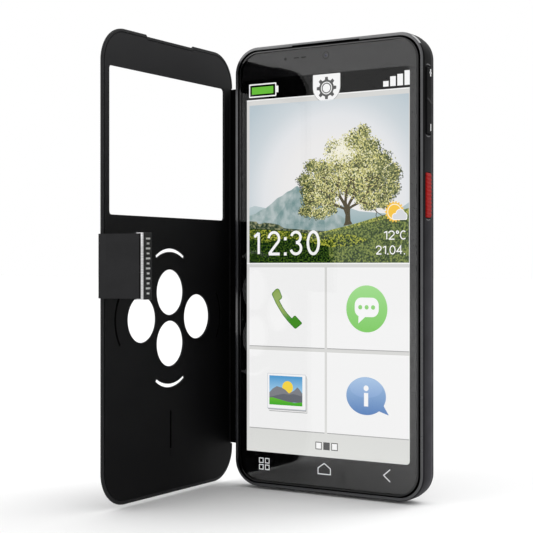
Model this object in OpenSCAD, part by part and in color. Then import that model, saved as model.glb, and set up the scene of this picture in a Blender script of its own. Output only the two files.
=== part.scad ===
// Touch-screen personal digital assistant with a removable book cover.
// The phone stands on its bottom edge. X runs across the screen, Y from front to back and Z up.
// The origin is the centre of the bottom edge.

/* [Phone] */
// width across the screen
body_w = 70; // [60:0.5:85]
// height when it stands on its bottom edge
body_h = 147.4; // [120:0.1:170]
// thickness from the glass to the back
body_t = 10.3; // [8:0.1:14]
// radius of the four outline corners
corner_r = 8.7; // [4:0.1:14]
// how far the back edge rounds in from the side
round_in = 4; // [1:0.1:5]
// how far the back edge rounds forward from the back
round_deep = 2.7; // [1:0.1:4]

/* [Screen] */
// width of the cover glass
glass_w = 65.2; // [50:0.1:80]
// height of the cover glass
glass_h = 144.4; // [100:0.1:165]
// width of the lit area
screen_w = 60.2; // [45:0.1:75]
// height of the lit area
screen_h = 124.85; // [80:0.05:150]
// bottom of the lit area above the base
screen_z = 11.7; // [5:0.1:25]

/* [Side keys] */
// length of the volume rocker
rocker_l = 21; // [12:0.5:30]
// height of the rocker's middle above the base
rocker_z = 125.6; // [90:0.1:135]
// length of the red key
red_l = 14; // [8:0.5:20]
// height of the red key's middle above the base
red_z = 96; // [60:0.5:110]
// width of both keys
key_w = 3.7; // [2:0.1:5]
// middle of both keys along the thickness
key_y = -1.65; // [-3:0.05:0]
// how far the keys stand out of the side
key_out = 0.5; // [0.2:0.05:1]

/* [Book cover] */
// thickness of the flap and the spine
sheet_t = 0.8; // [0.6:0.05:1.5]
// depth of the flap from its fold to its free edge
flap_l = 70.8; // [60:0.1:85]
// distance from the fold of the flap to the middle of its window and finger holes
holes_l = 35.75; // [30:0.05:45]
// radius of the flap's corners
flap_r = 11; // [4:0.5:16]
// length of the spine between its two folds
spine_l = 8.4; // [6:0.1:12]
// bottom of the spine above the base
spine_z0 = 12.2; // [8:0.1:30]
// top of the spine above the base
spine_z1 = 135.6; // [100:0.1:140]
// width of the clock window
window_w = 62.8; // [40:0.1:66]
// bottom of the clock window
window_z0 = 89.7; // [70:0.1:110]
// top of the clock window
window_z1 = 135.35; // [115:0.05:142]
// radius of the four finger holes
finger_r = 7.4; // [5:0.1:9]
// middle of the finger holes above the base
finger_z = 57; // [40:0.5:70]
// offset of the upper and lower holes from the middle
finger_up = 8.35; // [7:0.05:12]
// offset of the left and right holes from the middle
finger_side = 15; // [12:0.1:20]

/* [Strap] */
// length of the strap from its fold to the clip
strap_l = 13.4; // [8:0.1:20]
// bottom of the strap
strap_z0 = 64.1; // [50:0.1:80]
// top of the strap
strap_z1 = 83.65; // [70:0.05:100]
// how far the strap is folded in from the plane of the flap
strap_fold = 108; // [90:1:120]
// bend of the clip's outer face past the strap
clip_bend = 66; // [45:1:90]
// length of the clip's outer face
clip_face = 4; // [2:0.1:8]
// distance of the strap's crease from its fold
crease_l = 10; // [6:0.1:12]

/* [Hidden] */
$fn = 96;
// small overlap, and how far cutting shapes reach past what they cut
fine = 0.01;
cut = 1;
// clearance between neighbouring parts
gap = 0.1;
half_gap = gap / 2;
pocket_gap = 0.3;
front_y = -body_t / 2;
back_y = body_t / 2;
mid_z = body_h / 2;
side_x = body_w / 2;
// parting line between the frame and the back shell
part_y = 2.3;
part_gap = 0.15;
// frame: rim in front of its chamfer, walls, middle plate
rim_y = front_y + 0.2;
rim_in = 0.9;
rim_deep = 0.75;
frame_wall = 2.2;
plate_y0 = -2.6;
plate_y1 = -1.8;
// glass, gasket and panel stack
glass_t = 0.9;
glass_gap = 0.2;
glass_r = 7.1;
glass_edge = 0.6;
glass_edge_deep = 0.35;
glass_y1 = front_y + glass_t;
gasket_t = 0.15;
gasket_in = 0.3;
gasket_window_r = 0.6;
gasket_y1 = glass_y1 + gasket_t;
panel_t = 1.2;
panel_w = 62.4;
panel_z0 = 8.8;
panel_z1 = 138.4;
panel_r = 2.8;
panel_y0 = gasket_y1;
panel_y1 = panel_y0 + panel_t;
ledge_y = gasket_y1;
// touch-key film below the screen, its window in the gasket and its three light holes
film_w = 54;
film_z0 = 3.6;
film_z1 = 10.2;
film_gap = 0.02;
film_window_gap = 0.4;
sign_x = 20;
sign_z = 6.6;
sign_r = 0.4;
// earpiece behind the frame's upper bar, and its slit above the glass
earpiece_w = 13.8;
earpiece_z0 = panel_z1 + 0.25;
earpiece_z1 = 140.1;
ear_slit_w = 25;
ear_slit_z0 = 146.3;
ear_slit_z1 = 147;
ear_slit_deep = 0.5;
// back shell
shell_t = 1.1;
lip_t = 0.7;
lip_gap = 0.2;
lip_deep = 1.1;
bay_w = body_w - 2 * frame_wall;
bay_h = body_h - 2 * frame_wall;
bay_r = corner_r - frame_wall;
// boards lie behind the middle plate
board_y0 = -0.8;
board_y1 = 0;
board_x = 30.4;
upper_z0 = 100;
upper_z1 = 142;
lower_z0 = 4.5;
lower_z1 = 22;
lower_x0 = -16;
usb_notch = 8.2;
usb_notch_gap = 0.5;
// screws through the boards into the middle plate
screw_x = 28;
screw_in = 2;
screw_r = 0.6;
screw_hole_r = 0.7;
board_hole_r = 0.8;
head_r = 1.3;
head_t = 0.45;
// shield can and card holder on the main board
can_x0 = -25;
can_x1 = 6;
can_y1 = 1.7;
can_z0 = 105;
can_z1 = 138;
can_t = 0.2;
sim_x0 = 11;
sim_x1 = 26;
sim_y1 = 1.5;
sim_z0 = 104;
sim_z1 = 121;
sim_wall = 0.3;
sim_slot_in = 1;
sim_slot_end = 1.5;
// battery bay
battery_w = 58;
battery_z0 = 25;
battery_z1 = 95;
battery_y0 = -0.9;
battery_y1 = 3.6;
battery_r = 1.5;
contact_pitch = 4;
contact_w = 1.6;
contact_y1 = 1.4;
contact_z0 = 96;
contact_z1 = 101.5;
// sockets in the bottom edge
usb_w = 8.9;
usb_t = 3.2;
usb_l = 7.4;
usb_y = -2.2;
usb_wall = 0.3;
usb_in = 0.2;
tongue_w = 6.8;
tongue_t = 0.7;
tongue_in = 0.8;
jack_x = -22;
jack_y = -0.45;
jack_r = 1.75;
jack_out = 2.35;
jack_l = 14;
jack_relief = 0.5;
jack_relief_wide = 0.2;
jack_end = 0.6;
mic_x = 9;
mic_r = 0.5;
mic_w = 3.6;
mic_h = 2.7;
mic_y1 = 1.1;
// loudspeaker
speaker_x = 19;
speaker_z = 13;
speaker_w = 13;
speaker_h = 15;
speaker_r = 1.5;
speaker_y0 = board_y1 + 0.05;
speaker_y1 = 3.4;
speaker_rim = 2;
speaker_dish = 0.3;
speaker_hole_r = 0.5;
speaker_pitch = 1.7;
// vibration motor
motor_x = -6;
motor_z = 14;
motor_r = 5;
motor_y1 = 2.7;
// cameras
cam_x = 20;
cam_z = 130;
cam_r = 4.2;
cam_hole = 5.4;
cam_body_y1 = 3.2;
cam_lens_r = 3.2;
cam_lens_y1 = 3.9;
cam_board_gap = 0.3;
window_in = 0.1;
window_t = 0.8;
flash_x = 9.5;
flash_r = 1.6;
flash_gap = 0.2;
front_cam_z = 142.4;
front_cam_r = 1.2;
front_cam_body_r = 2.1;
front_cam_back_r = 1.5;
front_cam_pocket_r = 2.3;
front_cam_y1 = plate_y1 - 0.2;
sensor_x = -15.3;
sensor_r = 0.5;
// side keys: recess and flange behind the wall's skin
key_skin = 1.05;
key_flange = 0.5;
key_flange_x = 32.9;
key_rim = 0.7;
key_play = 0.25;
recess_x0 = 31.2;
recess_y1 = plate_y1 + 2;
switch_strip_x = 31.5;
switch_x0 = 31.7;
switch_x1 = 32.2;
switch_w = 2.4;
switch_z0 = red_z - 5;
switch_z1 = rocker_z + 9;
switch_gap = 1;
dome_r = 1;
dome_off = 7;
rib_pitch = 1.2;
rib_gap_w = 0.6;
rib_deep = 0.25;
rib_count = 5;
// cover hinge in the back shell's left corner
hinge_x = -34;
hinge_y = 4.2;
hinge_r = 1.15;
magnet_x0 = 29.4;
magnet_x1 = 31;
magnet_y0 = 2;
magnet_in = 1.5;
spine_off = 1.7;
roll_r = sheet_t / 2;
roll_gap = 0.3;
spine_y = hinge_y + spine_off;
spine_x0 = hinge_x - spine_off;
fold_x = spine_x0 - spine_l;
flap_free_y = spine_y - flap_l;
flap_y = (spine_y + flap_free_y) / 2;
window_y = spine_y - holes_l;
strap_gap = 0.5;
strap_y = flap_free_y - strap_gap - roll_r;
neck_l = 2;
neck_t = 0.4;
// openings and decoration of the flap
window_r = 1.2;
arc_r = 13.7;
arc_w = 1.1;
arc_half = 34.5;
groove = 0.3;
slit_z0 = 14.4;
slit_z1 = 26.9;
slit_w = 0.5;
dot_z = [12.1, 12.8, 13.6];
dot_r = 0.2;
notch_w = 24.8;
notch_h = 0.56;
// clip
clip_t = 0.6;
clip_over = 0.3;
clip_back = 2.4;
clip_nose = 0.8;
clip_face_t = 0.8;
clip_lip = 0.1;
clip_lip_l = 0.2;
clip_web = 1.6;
clip_web_in = 0.7;

// ---- shared shapes ----

// rounded rectangle in two dimensions
module rounded(w, h, r) {
  square([w - 2 * r, h], center = true);
  square([w, h - 2 * r], center = true);
  for (sx = [-1, 1])
    for (sy = [-1, 1])
      translate([sx * (w / 2 - r), sy * (h / 2 - r)])
        circle(r);
}

// upright plate parallel to the screen, from y0 to y1
module plate(w, h, r, y0, y1, x = 0, z = mid_z) {
  translate([x, y1, z])
    rotate([90, 0, 0])
      linear_extrude(y1 - y0)
        rounded(w, h, r);
}

// box given by its two corners
module block(x0, x1, y0, y1, z0, z1) {
  translate([x0, y0, z0])
    cube([x1 - x0, y1 - y0, z1 - z0]);
}

// rod along Y
module rod_y(x, z, r, y0, y1) {
  translate([x, y0, z])
    rotate([-90, 0, 0])
      cylinder(r = r, h = y1 - y0);
}

// rod along Z
module rod_z(x, y, r, z0, z1) {
  translate([x, y, z0])
    cylinder(r = r, h = z1 - z0);
}

// body with the phone's outline whose edge follows a profile of [radius, y] points
module profiled(w, h, r, points) {
  hull()
    for (sx = [-1, 1])
      for (sz = [-1, 1])
        translate([sx * (w / 2 - r), 0, mid_z + sz * (h / 2 - r)])
          rotate([-90, 0, 0])
            rotate_extrude($fn = 48)
              polygon(points);
}

function back_edge(r, inward, y0, y1) =
  [for (a = [0 : 15 : 90]) [r - inward + inward * cos(a), y0 + (y1 - y0) * sin(a)]];

// ---- phone ----

module mid_frame() {
  color([0.16, 0.16, 0.18])
    difference() {
      profiled(body_w, body_h, corner_r, [
        [0, rim_y], [corner_r - rim_in, rim_y], [corner_r, rim_y + rim_deep],
        [corner_r, part_y], [0, part_y]]);
      plate(glass_w + 2 * glass_gap, glass_h + 2 * glass_gap, glass_r + glass_gap,
        rim_y - cut, ledge_y);
      plate(panel_w + 2 * glass_gap, panel_z1 - panel_z0 + 2 * glass_gap, panel_r + glass_gap,
        ledge_y - fine, plate_y0, z = (panel_z0 + panel_z1) / 2);
      plate(bay_w, bay_h, bay_r, plate_y1, part_y + cut);
      front_part_pockets();
      key_pocket(rocker_l, rocker_z);
      key_pocket(red_l, red_z);
      block(recess_x0, switch_x1 + gap, key_y - switch_w / 2 - 2 * gap, recess_y1,
        switch_z0 - switch_gap, switch_z1 + switch_gap);
      block(-usb_w / 2 - gap, usb_w / 2 + gap, usb_y - usb_t / 2 - gap,
        usb_y + usb_t / 2 + gap, -cut, usb_l + 2 * usb_in);
      rod_z(jack_x, jack_y, jack_out + half_gap, -cut, jack_l + jack_relief + jack_end + half_gap);
      rod_z(mic_x, jack_y, mic_r, -cut, lower_z0);
      screw_places()
        rod_y(0, 0, screw_hole_r, plate_y0 - cut, plate_y1 + cut);
    }
}

// hollows for the earpiece and the front camera in the frame's upper bar
module front_part_pockets() {
  block(-earpiece_w / 2 - pocket_gap, earpiece_w / 2 + pocket_gap, ledge_y - fine, plate_y0,
    panel_z1, earpiece_z1 + pocket_gap);
  rod_y(0, front_cam_z, front_cam_pocket_r, ledge_y - cut, plate_y1 + fine);
  block(-ear_slit_w / 2, ear_slit_w / 2, rim_y - cut, rim_y + ear_slit_deep,
    ear_slit_z0, ear_slit_z1);
}

// opening for a side key: the visible slot, and the recess for its flange
module key_pocket(l, z) {
  block(recess_x0, side_x + cut, key_y - key_w / 2 - key_play, key_y + key_w / 2 + key_play,
    z - l / 2 - key_play, z + l / 2 + key_play);
  block(recess_x0, side_x - key_skin, key_y - key_w / 2 - key_play, recess_y1,
    z - l / 2 - key_rim - key_play, z + l / 2 + key_rim + key_play);
}

module front_glass() {
  color([0.05, 0.05, 0.06, 0.35])
    profiled(glass_w, glass_h, glass_r, [
      [0, front_y], [glass_r - glass_edge, front_y],
      [glass_r - glass_edge / 3, front_y + glass_edge_deep / 3],
      [glass_r, front_y + glass_edge_deep], [glass_r, glass_y1], [0, glass_y1]]);
}

module glass_gasket() {
  color([0.02, 0.02, 0.02])
    difference() {
      plate(glass_w - 2 * gasket_in, glass_h - 2 * gasket_in, glass_r - gasket_in,
        glass_y1, gasket_y1);
      plate(screen_w, screen_h, gasket_window_r, glass_y1 - cut, gasket_y1 + cut,
        z = screen_z + screen_h / 2);
      rod_y(0, front_cam_z, front_cam_r, glass_y1 - cut, gasket_y1 + cut);
      rod_y(sensor_x, front_cam_z, sensor_r, glass_y1 - cut, gasket_y1 + cut);
      block(-film_w / 2 - film_window_gap, film_w / 2 + film_window_gap,
        glass_y1 - cut, gasket_y1 + cut, film_z0 - film_window_gap, film_z1 + film_window_gap);
    }
}

module display_panel() {
  color([0.9, 0.92, 0.94])
    plate(panel_w, panel_z1 - panel_z0, panel_r, panel_y0, panel_y1,
      z = (panel_z0 + panel_z1) / 2);
}

module touch_key_film() {
  color([0.03, 0.03, 0.03])
    difference() {
      block(-film_w / 2, film_w / 2, glass_y1 + film_gap, gasket_y1 - film_gap, film_z0, film_z1);
      for (i = [-1 : 1])
        rod_y(i * sign_x, sign_z, sign_r, glass_y1, gasket_y1);
    }
}

module earpiece() {
  color([0.25, 0.25, 0.27])
    block(-earpiece_w / 2, earpiece_w / 2, ledge_y + gap, plate_y0 - gap,
      earpiece_z0, earpiece_z1);
}

module front_camera() {
  color([0.06, 0.06, 0.08]) {
    rod_y(0, front_cam_z, front_cam_body_r, gasket_y1 + half_gap, front_cam_y1);
    rod_y(0, front_cam_z, front_cam_back_r, front_cam_y1, board_y0 - half_gap);
  }
}

// where the eight frame screws go
module screw_places() {
  for (x = [-screw_x, screw_x])
    for (z = [upper_z0 + screw_in, upper_z1 - screw_in])
      translate([x, 0, z])
        children();
  for (x = [lower_x0 + screw_in, screw_x])
    for (z = [lower_z0 + screw_in, lower_z1 - screw_in])
      translate([x, 0, z])
        children();
}

module board(x0, z0, z1) {
  difference() {
    block(x0, board_x, board_y0, board_y1, z0, z1);
    screw_places()
      rod_y(0, 0, board_hole_r, board_y0 - cut, board_y1 + cut);
  }
}

module main_board() {
  color([0.05, 0.25, 0.15])
    difference() {
      board(-board_x, upper_z0, upper_z1);
      rod_y(cam_x, cam_z, cam_r + cam_board_gap, board_y0 - cut, board_y1 + cut);
    }
}

module lower_board() {
  color([0.05, 0.25, 0.15])
    difference() {
      board(lower_x0, lower_z0, lower_z1);
      block(-usb_w / 2 - usb_notch_gap, usb_w / 2 + usb_notch_gap, board_y0 - cut, board_y1 + cut,
        lower_z0 - cut, usb_notch);
    }
}

module shield_can() {
  color([0.75, 0.75, 0.76])
    difference() {
      block(can_x0, can_x1, board_y1, can_y1, can_z0, can_z1);
      block(can_x0 + can_t, can_x1 - can_t, board_y1 - cut, can_y1 - can_t,
        can_z0 + can_t, can_z1 - can_t);
    }
}

module sim_holder() {
  color([0.8, 0.8, 0.8])
    difference() {
      block(sim_x0, sim_x1, board_y1, sim_y1, sim_z0, sim_z1);
      block(sim_x0 + sim_slot_in, sim_x1 - sim_slot_in, board_y1 + sim_wall, sim_y1 - sim_wall,
        sim_z0 - cut, sim_z1 - sim_slot_end);
    }
}

module battery_contacts() {
  color([0.85, 0.65, 0.2])
    for (i = [-1 : 1])
      block(i * contact_pitch - contact_w / 2, i * contact_pitch + contact_w / 2,
        board_y1, contact_y1, contact_z0, contact_z1);
}

module battery() {
  color([0.85, 0.85, 0.82])
    plate(battery_w, battery_z1 - battery_z0, battery_r, battery_y0, battery_y1,
      z = (battery_z0 + battery_z1) / 2);
}

module usb_socket() {
  color([0.7, 0.7, 0.72]) {
    difference() {
      translate([0, usb_y, usb_in])
        linear_extrude(usb_l)
          rounded(usb_w, usb_t, usb_t / 2 - fine);
      translate([0, usb_y, -cut])
        linear_extrude(usb_l + 2 * usb_in)
          rounded(usb_w - 2 * usb_wall, usb_t - 2 * usb_wall, usb_t / 2 - usb_wall - fine);
    }
    block(-tongue_w / 2, tongue_w / 2, usb_y - tongue_t / 2, usb_y + tongue_t / 2,
      tongue_in, usb_l);
  }
}

module headphone_jack() {
  color([0.08, 0.08, 0.08])
    difference() {
      rod_z(jack_x, jack_y, jack_out, 0, jack_l + jack_relief + jack_end);
      rod_z(jack_x, jack_y, jack_r, -cut, jack_l + fine);
      rod_z(jack_x, jack_y, jack_r + jack_relief_wide, jack_l, jack_l + jack_relief);
    }
}

module microphone() {
  color([0.75, 0.72, 0.6])
    block(mic_x - mic_w / 2, mic_x + mic_w / 2, board_y1, mic_y1,
      lower_z0 + pocket_gap, lower_z0 + pocket_gap + mic_h);
}

module loudspeaker() {
  color([0.12, 0.12, 0.13])
    difference() {
      plate(speaker_w, speaker_h, speaker_r, speaker_y0, speaker_y1, x = speaker_x, z = speaker_z);
      plate(speaker_w - 2 * speaker_rim, speaker_h - 2 * speaker_rim, speaker_r,
        speaker_y1 - speaker_dish, speaker_y1 + cut, x = speaker_x, z = speaker_z);
    }
}

module vibration_motor() {
  color([0.72, 0.72, 0.74])
    rod_y(motor_x, motor_z, motor_r, board_y1, motor_y1);
}

module rear_camera() {
  color([0.06, 0.06, 0.08]) {
    rod_y(cam_x, cam_z, cam_r, board_y0, cam_body_y1);
    rod_y(cam_x, cam_z, cam_lens_r, cam_body_y1, cam_lens_y1);
  }
}

module flash_led() {
  color([0.95, 0.9, 0.6])
    rod_y(flash_x, cam_z, flash_r - flash_gap, board_y1, cam_lens_y1);
}

module side_switches() {
  color([0.8, 0.8, 0.78]) {
    block(switch_strip_x, switch_x0, key_y - switch_w / 2, key_y + switch_w / 2,
      switch_z0, switch_z1);
    for (z = [red_z, rocker_z - dome_off, rocker_z + dome_off])
      translate([switch_x0, key_y, z])
        rotate([0, 90, 0])
          cylinder(r = dome_r, h = switch_x1 - switch_x0);
  }
}

module frame_screws() {
  color([0.6, 0.6, 0.62])
    screw_places() {
      rod_y(0, 0, head_r, board_y1, board_y1 + head_t);
      rod_y(0, 0, screw_r, plate_y0 + gap, board_y1);
    }
}

// ---- back cover ----

module back_shell() {
  color([0.14, 0.14, 0.15])
    difference() {
      union() {
        profiled(body_w, body_h, corner_r, concat([[0, part_y + part_gap]],
          back_edge(corner_r, round_in, part_y + part_gap, back_y), [[0, back_y]]));
        plate(bay_w - 2 * lip_gap, bay_h - 2 * lip_gap, bay_r - lip_gap,
          part_y - lip_deep, part_y + cut);
        rod_z(hinge_x, hinge_y, hinge_r, spine_z0, spine_z1);
      }
      plate(bay_w - 2 * lip_gap - 2 * lip_t, bay_h - 2 * lip_gap - 2 * lip_t,
        bay_r - lip_gap - lip_t, part_y - lip_deep - cut, back_y - shell_t);
      rod_y(cam_x, cam_z, cam_hole, 0, back_y + cut);
      rod_y(flash_x, cam_z, flash_r, 0, back_y + cut);
      rod_z(jack_x, jack_y, jack_out + pocket_gap, 0, jack_l + 2 * cut);
      for (i = [-3 : 3])
        rod_y(speaker_x + speaker_pitch * i, speaker_z, speaker_hole_r, 0, back_y + cut);
    }
}

module camera_window() {
  color([0.1, 0.1, 0.12, 0.5])
    rod_y(cam_x, cam_z, cam_hole, back_y - window_in - window_t, back_y - window_in);
}

module latch_magnet() {
  color([0.55, 0.55, 0.57])
    block(magnet_x0, magnet_x1, magnet_y0, back_y - shell_t,
      strap_z0 + magnet_in, strap_z1 - magnet_in);
}

module spine_panel() {
  color([0.09, 0.09, 0.1]) {
    block(fold_x + roll_r + roll_gap, spine_x0, spine_y - roll_r, spine_y + roll_r,
      spine_z0, spine_z1);
    rod_z(spine_x0, spine_y, roll_r, spine_z0, spine_z1);
  }
}

// ---- flap ----

// cut along X through the flap for the 2D outline given in (y, z)
module through_flap(x0 = fold_x - 2, l = 4) {
  translate([x0, 0, 0])
    rotate([90, 0, 90])
      linear_extrude(l)
        children();
}

module arc_stroke(turn) {
  rotate(turn)
    intersection() {
      difference() {
        circle(arc_r + arc_w / 2);
        circle(arc_r - arc_w / 2);
      }
      polygon([[0, 0], [2 * arc_r, -2 * arc_r * tan(arc_half)],
        [2 * arc_r, 2 * arc_r * tan(arc_half)]]);
    }
}

module flap_panel() {
  inner_x = fold_x + roll_r;
  color([0.07, 0.07, 0.075])
    difference() {
      union() {
        through_flap(fold_x - roll_r, sheet_t)
          translate([flap_y, mid_z])
            rounded(flap_l, body_h, flap_r);
        rod_z(fold_x, spine_y, roll_r, spine_z0, spine_z1);
      }
      through_flap()
        translate([window_y, (window_z0 + window_z1) / 2])
          rounded(window_w, window_z1 - window_z0, window_r);
      for (s = [-1, 1]) {
        through_flap()
          translate([window_y + s * finger_side, finger_z])
            circle(finger_r);
        through_flap()
          translate([window_y, finger_z + s * finger_up])
            circle(finger_r);
        through_flap()
          translate([window_y, finger_z + s * finger_up])
            arc_stroke(s * 90);
        through_flap(inner_x - groove, cut)
          translate([window_y + s * finger_side, finger_z])
            arc_stroke(90 - s * 90);
      }
      through_flap(inner_x - groove, cut)
        translate([window_y, (slit_z0 + slit_z1) / 2])
          square([slit_w, slit_z1 - slit_z0], center = true);
      for (z = dot_z)
        translate([inner_x - groove, window_y, z])
          rotate([0, 90, 0])
            cylinder(r = dot_r, h = cut);
      block(fold_x - cut, fold_x + cut, window_y - notch_w / 2, window_y + notch_w / 2,
        body_h - notch_h, body_h + cut);
    }
}

// ---- strap ----

// places children given as (along the strap, towards the inner side, z) at the folded strap
module at_strap() {
  translate([fold_x, strap_y, 0])
    rotate([0, 0, strap_fold - 90])
      children();
}

module strap_band() {
  color([0.2, 0.2, 0.21])
    at_strap() {
      rod_z(0, 0, roll_r, strap_z0, strap_z1);
      block(0, neck_l, -neck_t / 2, neck_t / 2, strap_z0, strap_z1);
      block(neck_l, crease_l - roll_r - roll_gap, -roll_r, roll_r, strap_z0, strap_z1);
    }
}

module strap_tip() {
  color([0.2, 0.2, 0.21])
    at_strap() {
      rod_z(crease_l, 0, roll_r, strap_z0, strap_z1);
      block(crease_l, strap_l, -roll_r, roll_r, strap_z0, strap_z1);
    }
}

module strap_clip() {
  nose = strap_l + clip_nose;
  lean = [cos(clip_bend), sin(clip_bend)];
  side = [-sin(clip_bend), cos(clip_bend)];
  heel = [nose, -roll_r];
  tip = heel + clip_face * lean;
  color([0.3, 0.3, 0.31])
    at_strap()
      translate([0, 0, strap_z0 - clip_over])
        linear_extrude(strap_z1 - strap_z0 + 2 * clip_over)
          polygon([
            [strap_l - clip_back, roll_r], [strap_l, roll_r], [strap_l, -roll_r - clip_lip],
            [nose - clip_lip_l, -roll_r - clip_lip], heel, tip, tip + clip_face_t * side,
            heel + clip_web * lean + clip_face_t * side, [nose - clip_web_in, roll_r + clip_t],
            [strap_l - clip_back, roll_r + clip_t]]);
}

// ---- side keys ----

module side_key(l, z) {
  block(key_flange_x, side_x + key_out, key_y - key_w / 2, key_y + key_w / 2,
    z - l / 2, z + l / 2);
  block(key_flange_x, key_flange_x + key_flange, key_y - key_w / 2, key_y + key_w / 2,
    z - l / 2 - key_rim, z + l / 2 + key_rim);
}

module volume_rocker() {
  color([0.05, 0.05, 0.05])
    side_key(rocker_l, rocker_z);
}

module red_key() {
  color([0.8, 0.05, 0.05])
    difference() {
      side_key(red_l, red_z);
      for (i = [-rib_count : rib_count])
        block(side_x + key_out - rib_deep, side_x + key_out + cut, key_y - key_w / 2 - cut,
          key_y + key_w / 2 + cut, red_z + rib_pitch * i - rib_gap_w / 2,
          red_z + rib_pitch * i + rib_gap_w / 2);
    }
}

mid_frame();
front_glass();
glass_gasket();
display_panel();
touch_key_film();
earpiece();
front_camera();
main_board();
lower_board();
shield_can();
sim_holder();
battery_contacts();
battery();
usb_socket();
headphone_jack();
microphone();
loudspeaker();
vibration_motor();
rear_camera();
flash_led();
side_switches();
frame_screws();
back_shell();
camera_window();
latch_magnet();
spine_panel();
flap_panel();
strap_band();
strap_tip();
strap_clip();
volume_rocker();
red_key();
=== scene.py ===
import contextlib
import math
import random

import bmesh
import bpy
from mathutils import Matrix, Vector


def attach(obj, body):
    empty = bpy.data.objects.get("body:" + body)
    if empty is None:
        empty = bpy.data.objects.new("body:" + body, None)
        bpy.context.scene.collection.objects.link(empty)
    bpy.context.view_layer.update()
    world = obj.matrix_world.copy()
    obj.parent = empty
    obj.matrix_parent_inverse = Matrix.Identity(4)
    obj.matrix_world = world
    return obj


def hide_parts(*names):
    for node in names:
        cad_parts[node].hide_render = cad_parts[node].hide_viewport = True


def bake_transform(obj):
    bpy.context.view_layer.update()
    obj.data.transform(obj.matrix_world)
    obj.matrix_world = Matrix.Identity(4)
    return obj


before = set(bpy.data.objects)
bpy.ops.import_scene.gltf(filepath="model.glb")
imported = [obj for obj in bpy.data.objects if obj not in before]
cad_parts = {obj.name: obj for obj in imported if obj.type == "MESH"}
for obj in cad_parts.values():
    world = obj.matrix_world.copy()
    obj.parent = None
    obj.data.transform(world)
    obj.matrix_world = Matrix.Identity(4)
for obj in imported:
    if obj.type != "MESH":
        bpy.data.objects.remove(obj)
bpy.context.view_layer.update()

MM = 0.001

# Sizes and places, in millimetres. They are given here, and aren't read from the frame.
BODY_W, BODY_H, CORNER = 70, 147.4, 8.7
MID_Z = BODY_H / 2
FRONT_Y, BACK_Y = -5.15, 5.15
RIM_Y, PART_Y = -4.95, 2.3
GLASS_W, GLASS_H, GLASS_R = 66.4, 144.4, 7.4
GLASS_BACK_Y = -4.25
MASK_Y = -4.235
SCREEN_H, SCREEN_Z = 124.85, 11.7
SCREEN_Y = -4.11
LAYER = 0.009  # depth between two layers of the screen's picture
PICTURE_X, PICTURE_Z = 0.2, -0.17  # how far the picture is moved over the panel
TILT = 0.0164  # lean of the shading normal of the glass and the print
TOP_END_Z = 143.5  # above this the frame's top end, sides too, wears the rim's lighter plastic
LENS_Z = 142.4  # height of the front camera
SLOT_GAP, SLOT_END_GAP = 0.18, 0.22  # room round a side key in its slot
KEY_Y, KEY_W = -1.65, 3.7
KEY_TOP_X = 35.5
ROCKER_Z, ROCKER_L = 125.6, 21
RED_Z, RED_L = 96, 14
SPINE_Y, SPINE_Z0, SPINE_Z1 = 5.9, 12.2, 135.6
FOLD_X = -44.1
SHEET_T = 0.8
FLAP_L, FLAP_R = 70.8, 11
HOLES_Y = SPINE_Y - 35.75
WINDOW_W, WINDOW_Z0, WINDOW_Z1 = 62.8, 89.7, 135.35
FINGER_R, FINGER_Z, FINGER_UP, FINGER_SIDE = 7.4, 57, 8.35, 15
ARC_R, ARC_W, ARC_HALF = 13.7, 1.1, math.radians(34.5)
STRAP_AXIS = (FOLD_X, SPINE_Y - FLAP_L - 0.9)
STRAP_TURN = math.radians(108 - 90)
STRAP_Z0, STRAP_Z1 = 64.1, 83.65
STRAP_L, CREASE_L = 13.4, 10
JACK_X, JACK_Y = -22, -0.45
USB_Y = -2.2
CAM_X, CAM_Z, FLASH_X = 20, 130, 9.5
SPEAKER_X, SPEAKER_Z = 19, 13
MIC_X = 9
FLOOR_Z = -0.8
Y, Z = 1, 2  # numbers of the axes


# ---- materials ----

def srgb(r, g, b):
    """Linear colour of a display colour given from 0 to 255."""
    def linear(v):
        v /= 255
        return v / 12.92 if v <= 0.04045 else ((v + 0.055) / 1.055) ** 2.4
    return (linear(r), linear(g), linear(b), 1)


def grey(value):
    return (value, value, value, 1)


def shade(colour, factor):
    return tuple(min(1, c * factor) for c in colour[:3]) + (1,)


def fill(node, **values):
    """Sets input sockets of a node; an underscore stands for a space."""
    for socket, value in values.items():
        node.inputs[socket.replace("_", " ")].default_value = value
    return node


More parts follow.
